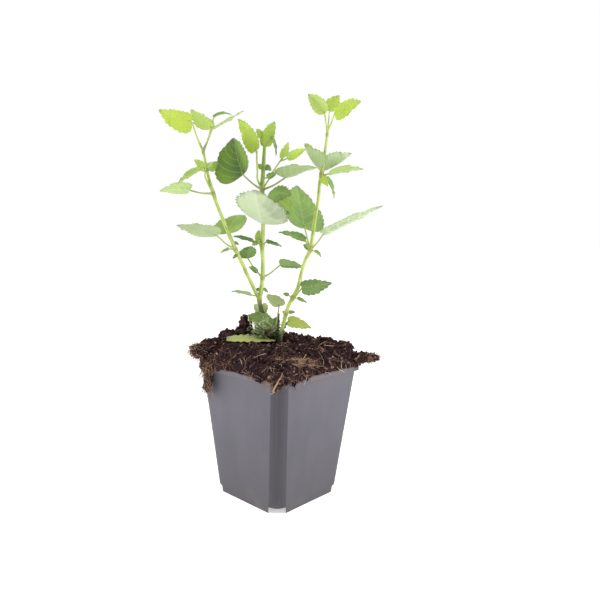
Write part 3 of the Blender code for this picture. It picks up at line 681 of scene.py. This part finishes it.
rightLeaves = [
    leaf("right", 188, (155, 19, 55), (150, 55, 42, 38), (20, 5, -5), 0.66, 0.05, 0.15, 0.35),
    leaf("right", 188, (270, 9, 50), (235, 15, 21, 11), (-30, 10, 15), 0.75),
    leaf("right", 188, (5, 17, 45), (20, 25, 48, 12), (-20, 10, 0), 0.6, 0.6),
    leaf("right", 188, (10, 4, -10), (30, -45, 7, 3), (45, 10, 50), 0.6),
    leaf("right", 188, (260, 2, 30), (165, 20, 8, 4), (-60, 10, 20), 0.6),
    leaf("right", 244, (221, 3, 70), (210, 56, 22, 23), (33, 32, -30), 0.45, 0.35, 0.0, 0.25),
    leaf("right", 244, (96, 5, 39), (51, 33, 24, 22), (-28, 31, -25), 0.45, 0.6, 0.0, 0.3),
    leaf("right", 243, (20, 6, 7), (47, 9, 26, 15), (-15, 5, 20), 0.3, 0.1, 0.0),
    leaf("right", 242, (330, 3, -20), (15, -55, 8, 6), (60, 5, 15), 0.1),
    leaf("right", 243, (80, 6, -10), (55, -70, 17, 5), (45, 0, 30), 0.75),
    leaf("right", 245, (160, 22, 45), (170, 40, 13, 6), (-60, 25, 20), 0.25),
    leaf("right", 274, (265, 13, 75), (185, 45, 22, 13), (-65, 35, 10), 0.1, 0.3),
    leaf("right", 274, (125, 21, 55), (80, 55, 16, 12), (35, 20, 15), 0.1),
    leaf("right", 274, (80, 16, 65), (10, 15, 22, 18), (60, -10, 25), 0.05),
    leaf("right", 149, (20, 14, 50), (50, 10, 23, 15), (45, -5, -5), 0.9, 0.12),
    leaf("right", 152, (240, 4, 25), (180, 10, 6, 3), (-60, 10, 15), 0.8),
    leaf("right", 152, (75, 4, -10), (60, -25, 9, 3), (60, 10, 10), 0.8),
    leaf("right", 140, (340, 2, -5), (175, 10, 6, 4), (-60, 10, 20), 0.9),
    leaf("right", 140, (90, 3, 5), (70, 0, 6, 3), (60, 10, 15), 0.9),
]
basalLeaves = [
    leaf(None, 0, (225, 2.1, 62), (230, -1, 34, 12.5), (-17, 7, 0), 0.12, 0.35,
         dry=0.4, crinkle=0.8, waves=6, bite=0.4, pointed=0.22, vein=0.3),
    leaf(None, 0, (60, 27, 80), (180, 30, 16, 14), (-10, 10, 30), 0.55, 0.4, dry=0.2),
    leaf(None, 0, (250, 12.5, 85), (200, 15, 22, 13), (-75, 30, 25), 0.85, dry=0.12),
    leaf(None, 0, (245, 9, 35), (185, 5, 13, 7), (-60, 20, 15), 0.8, 0.2),
    leaf(None, 0, (120, 11, 65), (120, 40, 11, 8), (10, 20, 20), 0.8),
    leaf(None, 0, (55, 19, 52), (45, -15, 19, 13), (35, 5, 10), 0.15, dry=0.3),
]
leafLook = {
    "toothSpacing": 3.2,
    "toothDepth": 0.42,  # of the spacing
    "thickness": 0.34,
    "quilt": 0.36,
    "wave": 0.042,  # of the length
    "waveLength": 30,  # past this length the waves grow no more
    "veinSlant": 2.5,
    "veinPairs": [(24, 6), (12, 5), (0, 4)],  # from which length, how many
    "columns": [(20, 8), (10, 5), (0, 3)],  # from which length, how many on each side
    "fullLength": 24,  # from which a blade has its full thickness
    "veinWidth": 0.8,
    "ribWidth": 0.55,
    "ribHeight": 0.5,
    "stalkRadius": 0.52,
    "stalkSag": 0.05,
    "ripeFrom": 0.45,  # the age that parts the two leaf finishes
    "down": 0.3,  # hairs for each square millimetre
    "rimHairs": 1.3,  # for each millimetre of the edge
}


def stepFor(length, steps):  # the number that goes with the first length reached
    return next(number for least, number in steps if length >= least)


def toothCount(length):
    return max(3, round(length / leafLook["toothSpacing"]))


def bladePoints(row, along, side):  # the middle of a blade: along is 0 to 1 and side -1 to 1
    start = np.array(crown, float) if row["stem"] is None else stemPoint(row["stem"], row["joint"])
    heading, pitch, length, width = row["blade"]
    roll, fold, curl = row["turn"]
    peak = row["peak"]
    stalkHeading, stalkLength, stalkRise = row["stalk"]
    base = start + direction(stalkHeading, stalkRise) * stalkLength
    fineStep = np.linspace(0, 1, 201)
    tilt = pitch + curl / 2 - curl * fineStep
    steps = direction(heading, (tilt[1:] + tilt[:-1]) / 2) * length / 200
    rib = base + np.vstack([np.zeros(3), np.cumsum(steps, axis=0)])
    middle = np.stack([np.interp(along, fineStep, rib[:, k]) for k in range(3)], axis=-1)
    ahead = direction(heading, pitch + curl / 2 - curl * along)
    level = direction(heading + 90, 0)
    left = level * cos(radians(roll)) + np.cross(ahead, level) * sin(radians(roll))
    up = np.cross(ahead, left)
    swell = (along / peak) ** (peak / (1 - peak)) * (1 - along) / (1 - peak)  # 1 where widest
    half = width / 2 * swell ** row["pointed"]
    reach = np.abs(side)
    teeth = toothCount(length)
    phase = (along * teeth) % 1
    bite = np.sin(pi * phase ** 1.5) ** 0.8 - 0.6  # rises slowly and falls fast, so teeth lean
    size = row["bite"] * leafLook["toothDepth"] * min(length / teeth, width / 6)
    size = size * np.sin(pi * np.clip(along, 0.02, 0.98)) ** 0.5
    outward = half * reach + bite * size * reach ** 6
    swept = row["lobe"] * length * (2 * half / width) * (1 - along) ** 2 * reach
    forward = bite * size * 0.5 * reach ** 6 - swept
    ripple = 2 * pi * (row["waves"] * along + 0.13 * length) + np.sign(side) * 1.1
    wave = leafLook["wave"] * row["crinkle"] * min(length, leafLook["waveLength"])
    wave = wave * np.sin(ripple + 1.3 * np.sin(9 * along))
    lift = half * sin(radians(fold)) * reach ** 1.25
    lift = lift + wave * reach ** 2 * np.sin(pi * along) * 0.5
    sideways = np.sign(side) * outward * cos(radians(fold))
    points = middle + ahead * forward[..., None] + left * sideways[..., None] + up * lift[..., None]
    return points, up, half * reach, start, rib


def addLeaf(blades, stalks, row):
    length, width = row["blade"][2:]
    big = min(1.0, length / leafLook["fullLength"])
    rows = max(14, 8 * toothCount(length))
    columns = stepFor(length, leafLook["columns"])
    along = np.linspace(0.006, 0.994, rows)[:, None]
    spread = np.sin(np.linspace(-1, 1, 2 * columns + 1) * pi / 2)[None, :]
    along, side = np.broadcast_arrays(along, spread)
    reach = np.abs(side)
    points, up, offset, start, rib = bladePoints(row, along, side)
    slant = reach ** 1.2 * leafLook["veinSlant"] * width / length
    veinRow = along * stepFor(length, leafLook["veinPairs"]) - slant + 0.5
    between = np.abs((veinRow % 1) - 0.5) * 2
    hollow = np.exp(-(offset / leafLook["veinWidth"]) ** 2) + 0.8 * between ** 6 * (1 - reach ** 4)
    rise = leafLook["quilt"] * big * (0.35 + 0.75 * row["age"]) * (0.4 - hollow)
    thick = leafLook["thickness"] / 2 * (1 - 0.5 * reach ** 3) * (0.7 + 0.3 * big)
    ribbed = leafLook["ribHeight"] * big * np.exp(-(offset / leafLook["ribWidth"]) ** 2)
    ribbed = ribbed * (1 - along) ** 0.7
    upper = points + up * (rise + thick)[..., None]
    lower = points + up * (rise - thick - ribbed)[..., None]
    under = np.concatenate([np.zeros_like(side), np.ones_like(side)], axis=1)
    colours = {key: row[key] for key in ("age", "pale", "vein", "dry", "lush")}
    blades.loft(np.concatenate([upper, lower[:, ::-1]], axis=1), **colours, under=under,
                along=onBothFaces(along), side=onBothFaces(reach), row=onBothFaces(veinRow),
                offset=onBothFaces(offset))
    addStalk(stalks, row, start, rib, big)


def onBothFaces(value):
    return np.concatenate([value, value[:, ::-1]], axis=1)


def addStalk(stalks, row, start, rib, big):
    base, inner = rib[0], rib[16]
    length = row["stalk"][1]
    middle = (start + base) / 2 - np.array((0, 0, leafLook["stalkSag"])) * length
    thick = leafLook["stalkRadius"] * (0.75 + 0.45 * big)
    points = [(*start, thick * 1.5), (*middle, thick), (*base, thick * 0.9), (*inner, thick * 0.55)]
    if length < 3:
        del points[1]
    route = smoothRoute(points, 0.8)
    loops, ridge = tubeLoops(route[:, :3], route[:, 3], 10, 0.05)
    stalks.loft(loops, wood=0.0, ridge=ridge, knot=0.2 + 0.5 * row["age"], deep=0.0)


def addDown(fuzz, row):  # fine hairs on both faces of a blade and along its edge
    length, width = row["blade"][2:]
    count = round(length * width * leafLook["down"])
    along, side = chance.uniform(0.06, 0.94, (count, 1)), chance.uniform(-0.9, 0.9, (count, 1))
    points, up = bladePoints(row, along, side)[:2]
    face = chance.choice((-1, 1), (count, 1, 1))
    out = unit(up * face + chance.normal(size=(count, 1, 3)) * 0.4)
    for root, lean, normal in zip(points[:, 0], out[:, 0], up[:, 0]):
        addHair(fuzz, root, lean, unit(np.cross(normal, askew)))
    along = np.linspace(0.05, 0.97, round(length * leafLook["rimHairs"]))[:, None]
    for half in (-1.0, 1.0):
        rim, up = bladePoints(row, along, np.full_like(along, half))[:2]
        inner = bladePoints(row, along, np.full_like(along, half * 0.85))[0]
        out = unit(rim - inner + chance.normal(size=rim.shape) * 0.1)
        for root, lean, normal in zip(rim[:, 0], out[:, 0], up[:, 0]):
            addHair(fuzz, root, lean, unit(normal))


def makeShoot(name, routes, leaves, slot, node):
    stalks, fuzz = Shape(), Shape()
    for route in routes:
        addStem(stalks, fuzz, route)
    for kind, finish in leafKinds.items():
        blades = Shape()
        for row in leaves:
            if (row["age"] >= leafLook["ripeFrom"]) == (kind == "Ripe"):
                addLeaf(blades, stalks, row)
                addDown(fuzz, row)
        blades.build(name + kind + "Blades", finish, slot, [node], 50)
    stalks.build(name + "Stems", stalkFinish, slot, [node], 50)
    fuzz.build(name + "Hairs", stalkFinish, slot, [node], 0)


# soil
soilLook = {
    "cut": 80.0,  # the heap above this height is worked finely, the fill below it stays plain
    "voxel": 0.7,
    "plainTone": 0.4,  # where the pot hides it
    "openTone": 0.33,
    "mottle": (0.35, 0.3),  # how much lighter or darker, waves for each millimetre
    "lumps": (1.1, 0.17),  # height in millimetres, waves for each millimetre
    "grains": [(1.7, 0.40), (0.8, 0.95)],  # height in millimetres, grains for each millimetre
    "grainShading": 0.35,  # painted light and shade: how much lighter the top of a grain is, and darker the crevices between grains
    "grainLevel": 0.45,
    "plantShadow": ((14, -16), 26, 0.17),  # painted shadow of the plant on the peat: middle, reach and depth of the darkest peat
    "swells": [  # middle, reach and height
        ((-31, -17, 121), 4.5, 4.5), ((29, 29, 117), 5, 2.5), ((41, 42, 115), 5, -3),
        ((43, -46, 95), 4, -3), ((6, -18, 119.5), 7.5, -2.4),
    ],
    "gap": 0.35,  # between the hanging soil and the pot's wall
    "rimGap": 0.4,
    "bedMargin": 1.5,  # of calmer soil round the low leaf
}
crumbLook = {
    "sorts": [  # how many, least and most radius, fineness, how common each tone is
        (6200, 0.3, 1.3, 1, (0.26, 0.30, 0.27, 0.13, 0.04)),
        (160, 1.1, 1.9, 2, (0.42, 0.38, 0.16, 0.03, 0.01)),
    ],
    "tones": (0.2, 0.38, 0.54, 0.72, 0.95),
    "toneSpread": 0.08,
    "smallness": 2.2,  # how far small ones outnumber large ones
    "shapes": 10,
    "brokenness": 0.55,
    "breadth": (0.6, 1.0),  # of the length
    "height": (0.45, 0.9),
    "proud": 0.3,  # of the radius
}
fibreLook = {
    "count": 1300,
    "length": (2.5, 11),
    "radius": (0.07, 0.2),
    "tones": ((0.2, 0.45, 0.7, 0.95), (0.38, 0.36, 0.19, 0.07)),  # and how common each is
    "bend": 0.9,
    "arch": (0.1, 0.55),
    "kink": 0.12,
    "bundleRise": 0.3,  # how far the fibres of a bundle stand off the soil
    "bundleSag": 0.4,
    "bundleKink": 0.16,
    "bundleTones": (-0.25, 0.2),  # darker and lighter than the bundle's own tone
    "bundles": [  # where, how wide, how many, the way they run, length, droop, tone, spread
        ((-46, -45, 107), 10, 170, (-0.5, -0.4, 0.1), (3, 9), 0.8, 0.6, 0.6),
        ((-30, -47, 100), 8, 60, (-0.1, -0.4, -0.8), (4, 9), 0.6, 0.55, 0.5),
        ((-29, -48, 90), 9, 110, (0.05, -0.25, -1.0), (4, 10), 0.4, 0.5, 0.4),
        ((52, 49, 106), 9, 140, (0.6, 0.5, 0.0), (3, 8), 0.5, 0.5, 0.6),
        ((42, -44, 99), 7, 50, (-0.4, -0.6, -0.7), (2, 6.5), 0.5, 0.5, 0.4),
        ((36, -37, 112.6), 4, 34, (0.3, 0.95, -0.08), (4, 9), 0.15, 0.68, 0.16),
        ((40, -29, 111.8), 4, 34, (0.25, 0.95, -0.12), (4, 9), 0.15, 0.68, 0.16),
        ((41, -21, 110.5), 4, 34, (0.15, 0.98, -0.1), (4, 9), 0.15, 0.64, 0.16),
        ((42, -13, 109.6), 4, 24, (0.1, 1.0, -0.1), (3, 8), 0.15, 0.6, 0.2),
    ],
    "strands": [  # thick ones: x, y, z and radius at each bend, then the tone
        ([(43.4, -40.5, 106.6, 0.2), (47.1, -46.9, 104.6, 0.4), (46.4, -48.9, 101.4, 0.5),
          (44.6, -49.4, 98.1, 0.55), (43.6, -49.8, 95.6, 0.35)], 0.7),
        ([(37.7, -11.1, 114.8, 0.3), (38.8, -14.3, 113.2, 0.3), (40.0, -18.2, 111.1, 0.15)], 0.62),
        ([(45.6, -32.5, 98.8, 0.15), (45.4, -30.7, 95.6, 0.3), (44.8, -28.8, 92.6, 0.15)], 0.2),
    ],
}
lyingLeaf = {  # the ground that the low leaf covers
    "centre": (-12.5, -18.0),
    "heading": 230,
    "half": (19.0, 8.5),
    "lowest": 112,
}


def squareDistance(x, y, half, corner):  # how far outside a rounded square, below 0 inside it
    outX, outY = np.abs(x) - (half - corner), np.abs(y) - (half - corner)
    outside = np.hypot(np.maximum(outX, 0), np.maximum(outY, 0))
    return outside + np.minimum(np.maximum(outX, outY), 0) - corner


def wallDistance(points):  # from the pot's outer face, below and above the lip's foot
    x, y, z = points.T
    wall = squareDistance(x, y, potForm["footHalf"] + potForm["taper"] * z, potForm["corner"])
    lip = squareDistance(x, y, potForm["lipHalf"], potForm["lipCorner"])
    return np.where(z > potForm["lipFoot"], lip, wall)


def clearOfPot(points):  # pushes points of hanging soil out of the pot's wall and up off its rim
    away, height, rim = wallDistance(points), points[:, 2], potForm["rim"]
    overRim = (height > rim - 1) & (height < rim + soilLook["rimGap"]) & (away < 0.6) & (away > -3)
    outside = (away > -0.6) & (height < rim + 0.3)
    push = np.where(outside, np.maximum(soilLook["gap"] - away, 0), 0)
    flat = points * (1, 1, 0)
    points = points + flat / np.maximum(np.linalg.norm(flat, axis=1), 1)[:, None] * push[:, None]
    points[overRim, 2] = rim + soilLook["rimGap"]
    return points


def onLyingLeaf(points, margin):
    turn = radians(lyingLeaf["heading"])
    x, y = (points[:, :2] - lyingLeaf["centre"]).T
    halfLength, halfWidth = lyingLeaf["half"]
    ahead, sideways = x * cos(turn) + y * sin(turn), y * cos(turn) - x * sin(turn)
    return ((np.abs(ahead) < halfLength + margin) & (np.abs(sideways) < halfWidth + margin)
            & (points[:, 2] > lyingLeaf["lowest"]))


def halfOfSoil(name, keepTop):
    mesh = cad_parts["soil"].data.copy()
    mesh.name = name
    cage = bmesh.new()
    cage.from_mesh(mesh)
    bmesh.ops.remove_doubles(cage, verts=cage.verts, dist=0.001 * mm)
    cut = bmesh.ops.bisect_plane(cage, geom=cage.verts[:] + cage.edges[:] + cage.faces[:],
                                 plane_co=(0, 0, soilLook["cut"] * mm), plane_no=(0, 0, 1),
                                 clear_inner=keepTop, clear_outer=not keepTop)
    rim = [edge for edge in cut["geom_cut"] if isinstance(edge, bmesh.types.BMEdge)]
    bmesh.ops.holes_fill(cage, edges=rim)
    bmesh.ops.triangulate(cage, faces=cage.faces)
    cage.to_mesh(mesh)
    cage.free()
    return addObject(name, mesh)


# how deep the painted shadow of the plant is at a point
def dampness(x, y):
    (middleX, middleY), reach, depth = soilLook["plantShadow"]
    return depth * np.exp(-((x - middleX) ** 2 + (y - middleY) ** 2) / reach ** 2)


def soilRelief(spot):  # how far the surface moves out at a point, and how light it is there
    height, waves = soilLook["lumps"]
    move = noise.noise(spot * waves) * height
    depth, waves = soilLook["mottle"]
    tone = soilLook["openTone"] + depth * noise.noise(spot * waves + Vector((3, 3, 3)))
    # painted shadow of the plant
    tone -= dampness(spot.x, spot.y)
    for place, reach, rise in soilLook["swells"]:
        move += rise * exp(-((spot - Vector(place)).length / reach) ** 2)
    for height, grains in soilLook["grains"]:
        inside = soilLook["grainLevel"] - noise.voronoi(spot * grains)[0][0]
        move += height * inside
        # painted light and shade: grain tops lighter, crevices darker
        tone += soilLook["grainShading"] * inside
    return move, tone


def makeHeap(peat):
    heap = halfOfSoil("soilHeap", True)
    remesh = heap.modifiers.new("even", "REMESH")
    remesh.mode, remesh.voxel_size = "VOXEL", soilLook["voxel"] * mm
    bpy.context.view_layer.update()
    depsgraph = bpy.context.evaluated_depsgraph_get()
    even = bpy.data.meshes.new_from_object(heap.evaluated_get(depsgraph))
    heap.modifiers.clear()
    heap.data = even
    count = len(even.vertices)
    points, normals = readOut(even.vertices, "co") / mm, readOut(even.vertices, "normal")
    free = (points[:, 2] > potForm["rim"] + 0.6) | (wallDistance(points) > 0.0)
    bedded = onLyingLeaf(points, soilLook["bedMargin"])
    moves, tones = np.zeros(count), np.full(count, soilLook["plainTone"])
    for i in np.flatnonzero(free):
        move, tones[i] = soilRelief(Vector(points[i]))
        moves[i] = min(move, 0) if bedded[i] else move
    points = points + normals * moves[:, None]
    points[free] = clearOfPot(points[free])
    even.vertices.foreach_set("co", (points * mm).ravel())
    markPoints(even, "tone", tones)
    even.update()
    even.shade_smooth()
    seat(heap, peat, "soil", ["soil"])
    fill = halfOfSoil("soilFill", False)
    markPoints(fill.data, "tone", np.full(len(fill.data.vertices), soilLook["plainTone"]))
    seat(fill, peat, "soil", ["soil"])
    return heap


def spotsOn(heap, count, weight=None):  # places on the heap's open surface, with their normals
    mesh = heap.data
    mesh.calc_loop_triangles()
    corners = readOut(mesh.loop_triangles, "vertices", int)
    a, b, c = readOut(mesh.vertices, "co")[corners].transpose(1, 0, 2) / mm
    middle, across = (a + b + c) / 3, np.cross(b - a, c - a)
    away, area = wallDistance(middle), np.linalg.norm(across, axis=1)
    shown = ((middle[:, 2] > potForm["rim"] + 0.8) | (away > 0.4)) & (area > 1e-6)
    looksDown = across[:, 2] / np.maximum(area, 1e-9) < -0.2
    shown &= ~(looksDown & (away < -1))  # not inside the holes that the stems stand in
    share = area * shown if weight is None else area * shown * weight(middle)
    chosen = chance.choice(len(area), count, p=share / share.sum())
    u, v = chance.random((2, count, 1))
    u, v = np.where(u + v > 1, 1 - u, u), np.where(u + v > 1, 1 - v, v)
    spots = a[chosen] + (b - a)[chosen] * u + (c - a)[chosen] * v
    normals = across[chosen] / area[chosen, None]
    keep = ~onLyingLeaf(spots, 0.5)
    return spots[keep], normals[keep]


def near(place, reach):  # a weight for spots within reach of a place
    return lambda middle: np.linalg.norm(middle - place, axis=1) < reach


def mostlyLow(middle):  # a weight that gives the hanging soil more
    return 1 + 1.5 * (middle[:, 2] < 108)


def roughBalls(detail):  # unit lumps with broken faces
    balls = []
    for seed in range(crumbLook["shapes"]):
        cage = bmesh.new()
        bmesh.ops.create_icosphere(cage, subdivisions=detail, radius=1.0)
        for vert in cage.verts:
            dent = noise.noise(vert.co * 1.6 + Vector((seed * 5.1, 0, 0)))
            vert.co *= 1 + crumbLook["brokenness"] * dent
        points = np.array([vert.co[:] for vert in cage.verts])
        faces = np.array([[vert.index for vert in face.verts] for face in cage.faces])
        cage.free()
        balls.append((points, faces))
    return balls


def randomTurns(count):
    w, x, y, z = unit(chance.normal(size=(count, 4))).T
    return np.stack([
        np.stack([1 - 2 * (y * y + z * z), 2 * (x * y - z * w), 2 * (x * z + y * w)], -1),
        np.stack([2 * (x * y + z * w), 1 - 2 * (x * x + z * z), 2 * (y * z - x * w)], -1),
        np.stack([2 * (x * z - y * w), 2 * (y * z + x * w), 1 - 2 * (x * x + y * y)], -1),
    ], axis=1)


def makeCrumbs(heap, peat):
    shape, spread = Shape(), crumbLook["toneSpread"]
    for count, least, most, detail, shares in crumbLook["sorts"]:
        spots, normals = spotsOn(heap, count)
        widths = least + (most - least) * chance.random(len(spots)) ** crumbLook["smallness"]
        balls, turns = roughBalls(detail), randomTurns(len(spots))
        for i, (spot, normal, width) in enumerate(zip(spots, normals, widths)):
            points, faces = balls[i % len(balls)]
            breadth, height = [chance.uniform(*crumbLook[side]) for side in ("breadth", "height")]
            squash = np.array((1.0, breadth, height)) * width
            placed = (points * squash) @ turns[i].T + spot + normal * width * crumbLook["proud"]
            tone = chance.choice(crumbLook["tones"], p=shares)
            # random tone, darkened by the painted shadow of the plant
            tone += chance.uniform(-spread, spread) - dampness(spot[0], spot[1])
            shape.add(clearOfPot(placed), faces, tone=tone)
    shape.build("soilCrumbs", peat, "soil", ["soil"], 0)


def addFibre(shape, route, radius, tone):
    shape.loft(tubeLoops(clearOfPot(route), radius, 4)[0], tone=tone)


def makeFibres(heap, finish):
    shape = Shape()
    for spot, normal in zip(*spotsOn(heap, fibreLook["count"], mostlyLow)):
        length = chance.uniform(*fibreLook["length"])
        flat = unit(np.cross(normal, chance.normal(size=3)))
        bend = unit(np.cross(normal, flat)) * chance.uniform(-fibreLook["bend"], fibreLook["bend"])
        rise = chance.uniform(*fibreLook["arch"])
        t = np.linspace(-0.5, 0.5, 7)[:, None]
        route = spot + length * (flat * t + bend * t * t + normal * (rise * (0.25 - t * t) + 0.02))
        route += chance.normal(size=route.shape) * fibreLook["kink"]
        radius = chance.uniform(*fibreLook["radius"]) * (1 - np.abs(t[:, 0]))
        tones, shares = fibreLook["tones"]
        addFibre(shape, route, radius, chance.choice(tones, p=shares))
    for place, reach, count, way, lengths, droop, tone, spread in fibreLook["bundles"]:
        for spot, normal in zip(*spotsOn(heap, count, near(place, reach))):
            length = chance.uniform(*lengths)
            rise = normal * fibreLook["bundleRise"]
            ahead = unit(np.array(way) + rise + chance.normal(size=3) * spread)
            t = np.linspace(-0.08, 1, 8)[:, None]
            sag = np.array((0, 0, -droop * fibreLook["bundleSag"])) * np.maximum(t, 0) ** 2
            route = spot + length * (ahead * t + sag)
            kinks = chance.normal(size=route.shape) * fibreLook["bundleKink"]
            route += np.cumsum(kinks, axis=0)
            radius = chance.uniform(*fibreLook["radius"]) * (1 - 0.7 * np.clip(t[:, 0], 0, 1))
            addFibre(shape, route, radius, tone + chance.uniform(*fibreLook["bundleTones"]))
    for points, tone in fibreLook["strands"]:
        route = smoothRoute(points, 0.6)
        shape.loft(tubeLoops(route[:, :3], route[:, 3], 8)[0], tone=tone)
    shape.build("soilFibres", finish, "soil", ["soil"], 60)


tuftLook = {
    "centre": (-6.8, -7.0, 125.8),
    "half": (12.5, 4.2, 4.8),  # sideways, to and fro and up
    "heading": 43,
    "lowest": 122.9,
    "feet": [(-2, -6), (-2, -6), (-11, -2), (3, -3), (-7, -5)],  # where the strands are rooted
    "footSpread": 1.2,
    "strands": 330,
    "steps": 15,
    "arch": 4.0,
    "wander": 0.85,
    "radius": (0.16, 0.32),
    "toneSpread": 0.2,
    "leaflet": (1.4, 3.2),
    "leafletWidth": 0.26,  # half of it, for each millimetre of length
}


def makeTuft(finish):  # curled downy strands, each with a small leaflet, at the foot of the shoots
    shape, spread = Shape(), tuftLook["toneSpread"]
    turn = radians(tuftLook["heading"])
    across = np.array(((cos(turn), sin(turn), 0), (-sin(turn), cos(turn), 0), (0, 0, 1)))
    t = np.linspace(0, 1, tuftLook["steps"])[:, None]
    for _ in range(tuftLook["strands"]):
        foot = chance.choice(tuftLook["feet"]) + chance.normal(size=2) * tuftLook["footSpread"]
        root = np.array((*foot, surface - 1.0))
        spot = unit(chance.normal(size=3)) * chance.random() ** 0.4 * tuftLook["half"]
        end = np.array(tuftLook["centre"]) + spot @ across
        route = root + (end - root) * t + np.array((0, 0, tuftLook["arch"])) * t * (1 - t)
        wander = np.cumsum(chance.normal(size=route.shape) * tuftLook["wander"], axis=0)
        route += wander * np.minimum(t * 3, 1)
        route[2:, 2] = np.maximum(route[2:, 2], tuftLook["lowest"])
        route = smoothRoute(route, 0.9)
        radius = chance.uniform(*tuftLook["radius"]) * np.linspace(1, 0.4, len(route))
        # painted shade: the strands are darker low down near the soil and lighter higher up
        height = (route[:, 2] - tuftLook["lowest"]) / tuftLook["half"][2] / 2
        tone = np.clip(0.1 + 0.9 * height + chance.uniform(-spread, spread), 0, 1)
        shape.loft(tubeLoops(route, radius, 4)[0], tone=tone[:, None])
        addLeaflet(shape, route[-1], unit(route[-1] - route[-3] + (0, 0, 0.4)), tone[-1])
    shape.build("basalTuftDown", finish, "basal_leaf", ["crown_leaves"], 50)


def addLeaflet(shape, root, ahead, tone):
    length = chance.uniform(*tuftLook["leaflet"])
    left = unit(np.cross(ahead, chance.normal(size=3)))
    up = np.cross(ahead, left)
    t = np.linspace(0.02, 0.98, 7)[:, None]
    half = length * tuftLook["leafletWidth"] * np.sin(pi * t ** 0.8)
    middle = root + length * (ahead * t + up * 0.35 * t * t)
    rim = [middle + left * half * side + up * 0.1 * lift + up * abs(side) * half * 0.3
           for side, lift in ((-1, 0), (-0.5, 1), (0.5, 1), (1, 0), (0.5, -1), (-0.5, -1))]
    shape.loft(np.stack(rim, axis=1), tone=tone)


# pot and floor
def dressPot(plastic):
    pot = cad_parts["pot"]
    pot.data.materials.clear()
    pot.data.materials.append(plastic)
    joined = pot.modifiers.new("joined", "WELD")
    joined.merge_threshold = 0.001 * mm
    edges = pot.modifiers.new("softEdges", "BEVEL")
    edges.width, edges.segments = potForm["edge"] * mm, 2
    edges.limit_method, edges.angle_limit = "ANGLE", radians(35)
    print("pot dressed")


def makeFloor(finish):
    half = studio["floorHalf"]
    corners = [(-half, -half, 0), (half, -half, 0), (half, half, 0), (-half, half, 0)]
    mesh = bpy.data.meshes.new("floor")
    mesh.from_pydata(corners, [], [(0, 1, 2, 3)])
    mesh.materials.append(finish)
    addObject("floor", mesh)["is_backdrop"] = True
    print("floor laid")


# the whole
makeCamera()
makeStudio()
makeFloor(floorFinish("pale floor"))
dressPot(potFinish("moulded plastic"))
leafKinds = {sort: leafFinish(sort.lower() + " leaf", *look) for sort, look in leafSorts.items()}
stalkFinish = stemFinish("stem")
makeShoot("mainShoot", ("main", "left", "side", "spray", "axil"), mainLeaves, "leaf", "main_shoots")
makeShoot("rightShoot", ("right",), rightLeaves, "leaf", "right_shoot")
makeShoot("basalTuft", (), basalLeaves, "basal_leaf", "crown_leaves")
stub = Shape()
addStem(stub, None, "stub")
stub.build("cutStub", stalkFinish, "old_stem", ["cut_stub"], 50)
peat = peatFinish("peat")
heap = makeHeap(peat)
makeCrumbs(heap, peat)
makeFibres(heap, strandFinish("fibre"))
makeTuft(strandFinish("tuft"))

low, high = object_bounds()
print("cad box", [round(c, 4) for c in (*cadLow, *cadHigh)])
print("visual box", [round(c, 4) for c in (*low, *high)])
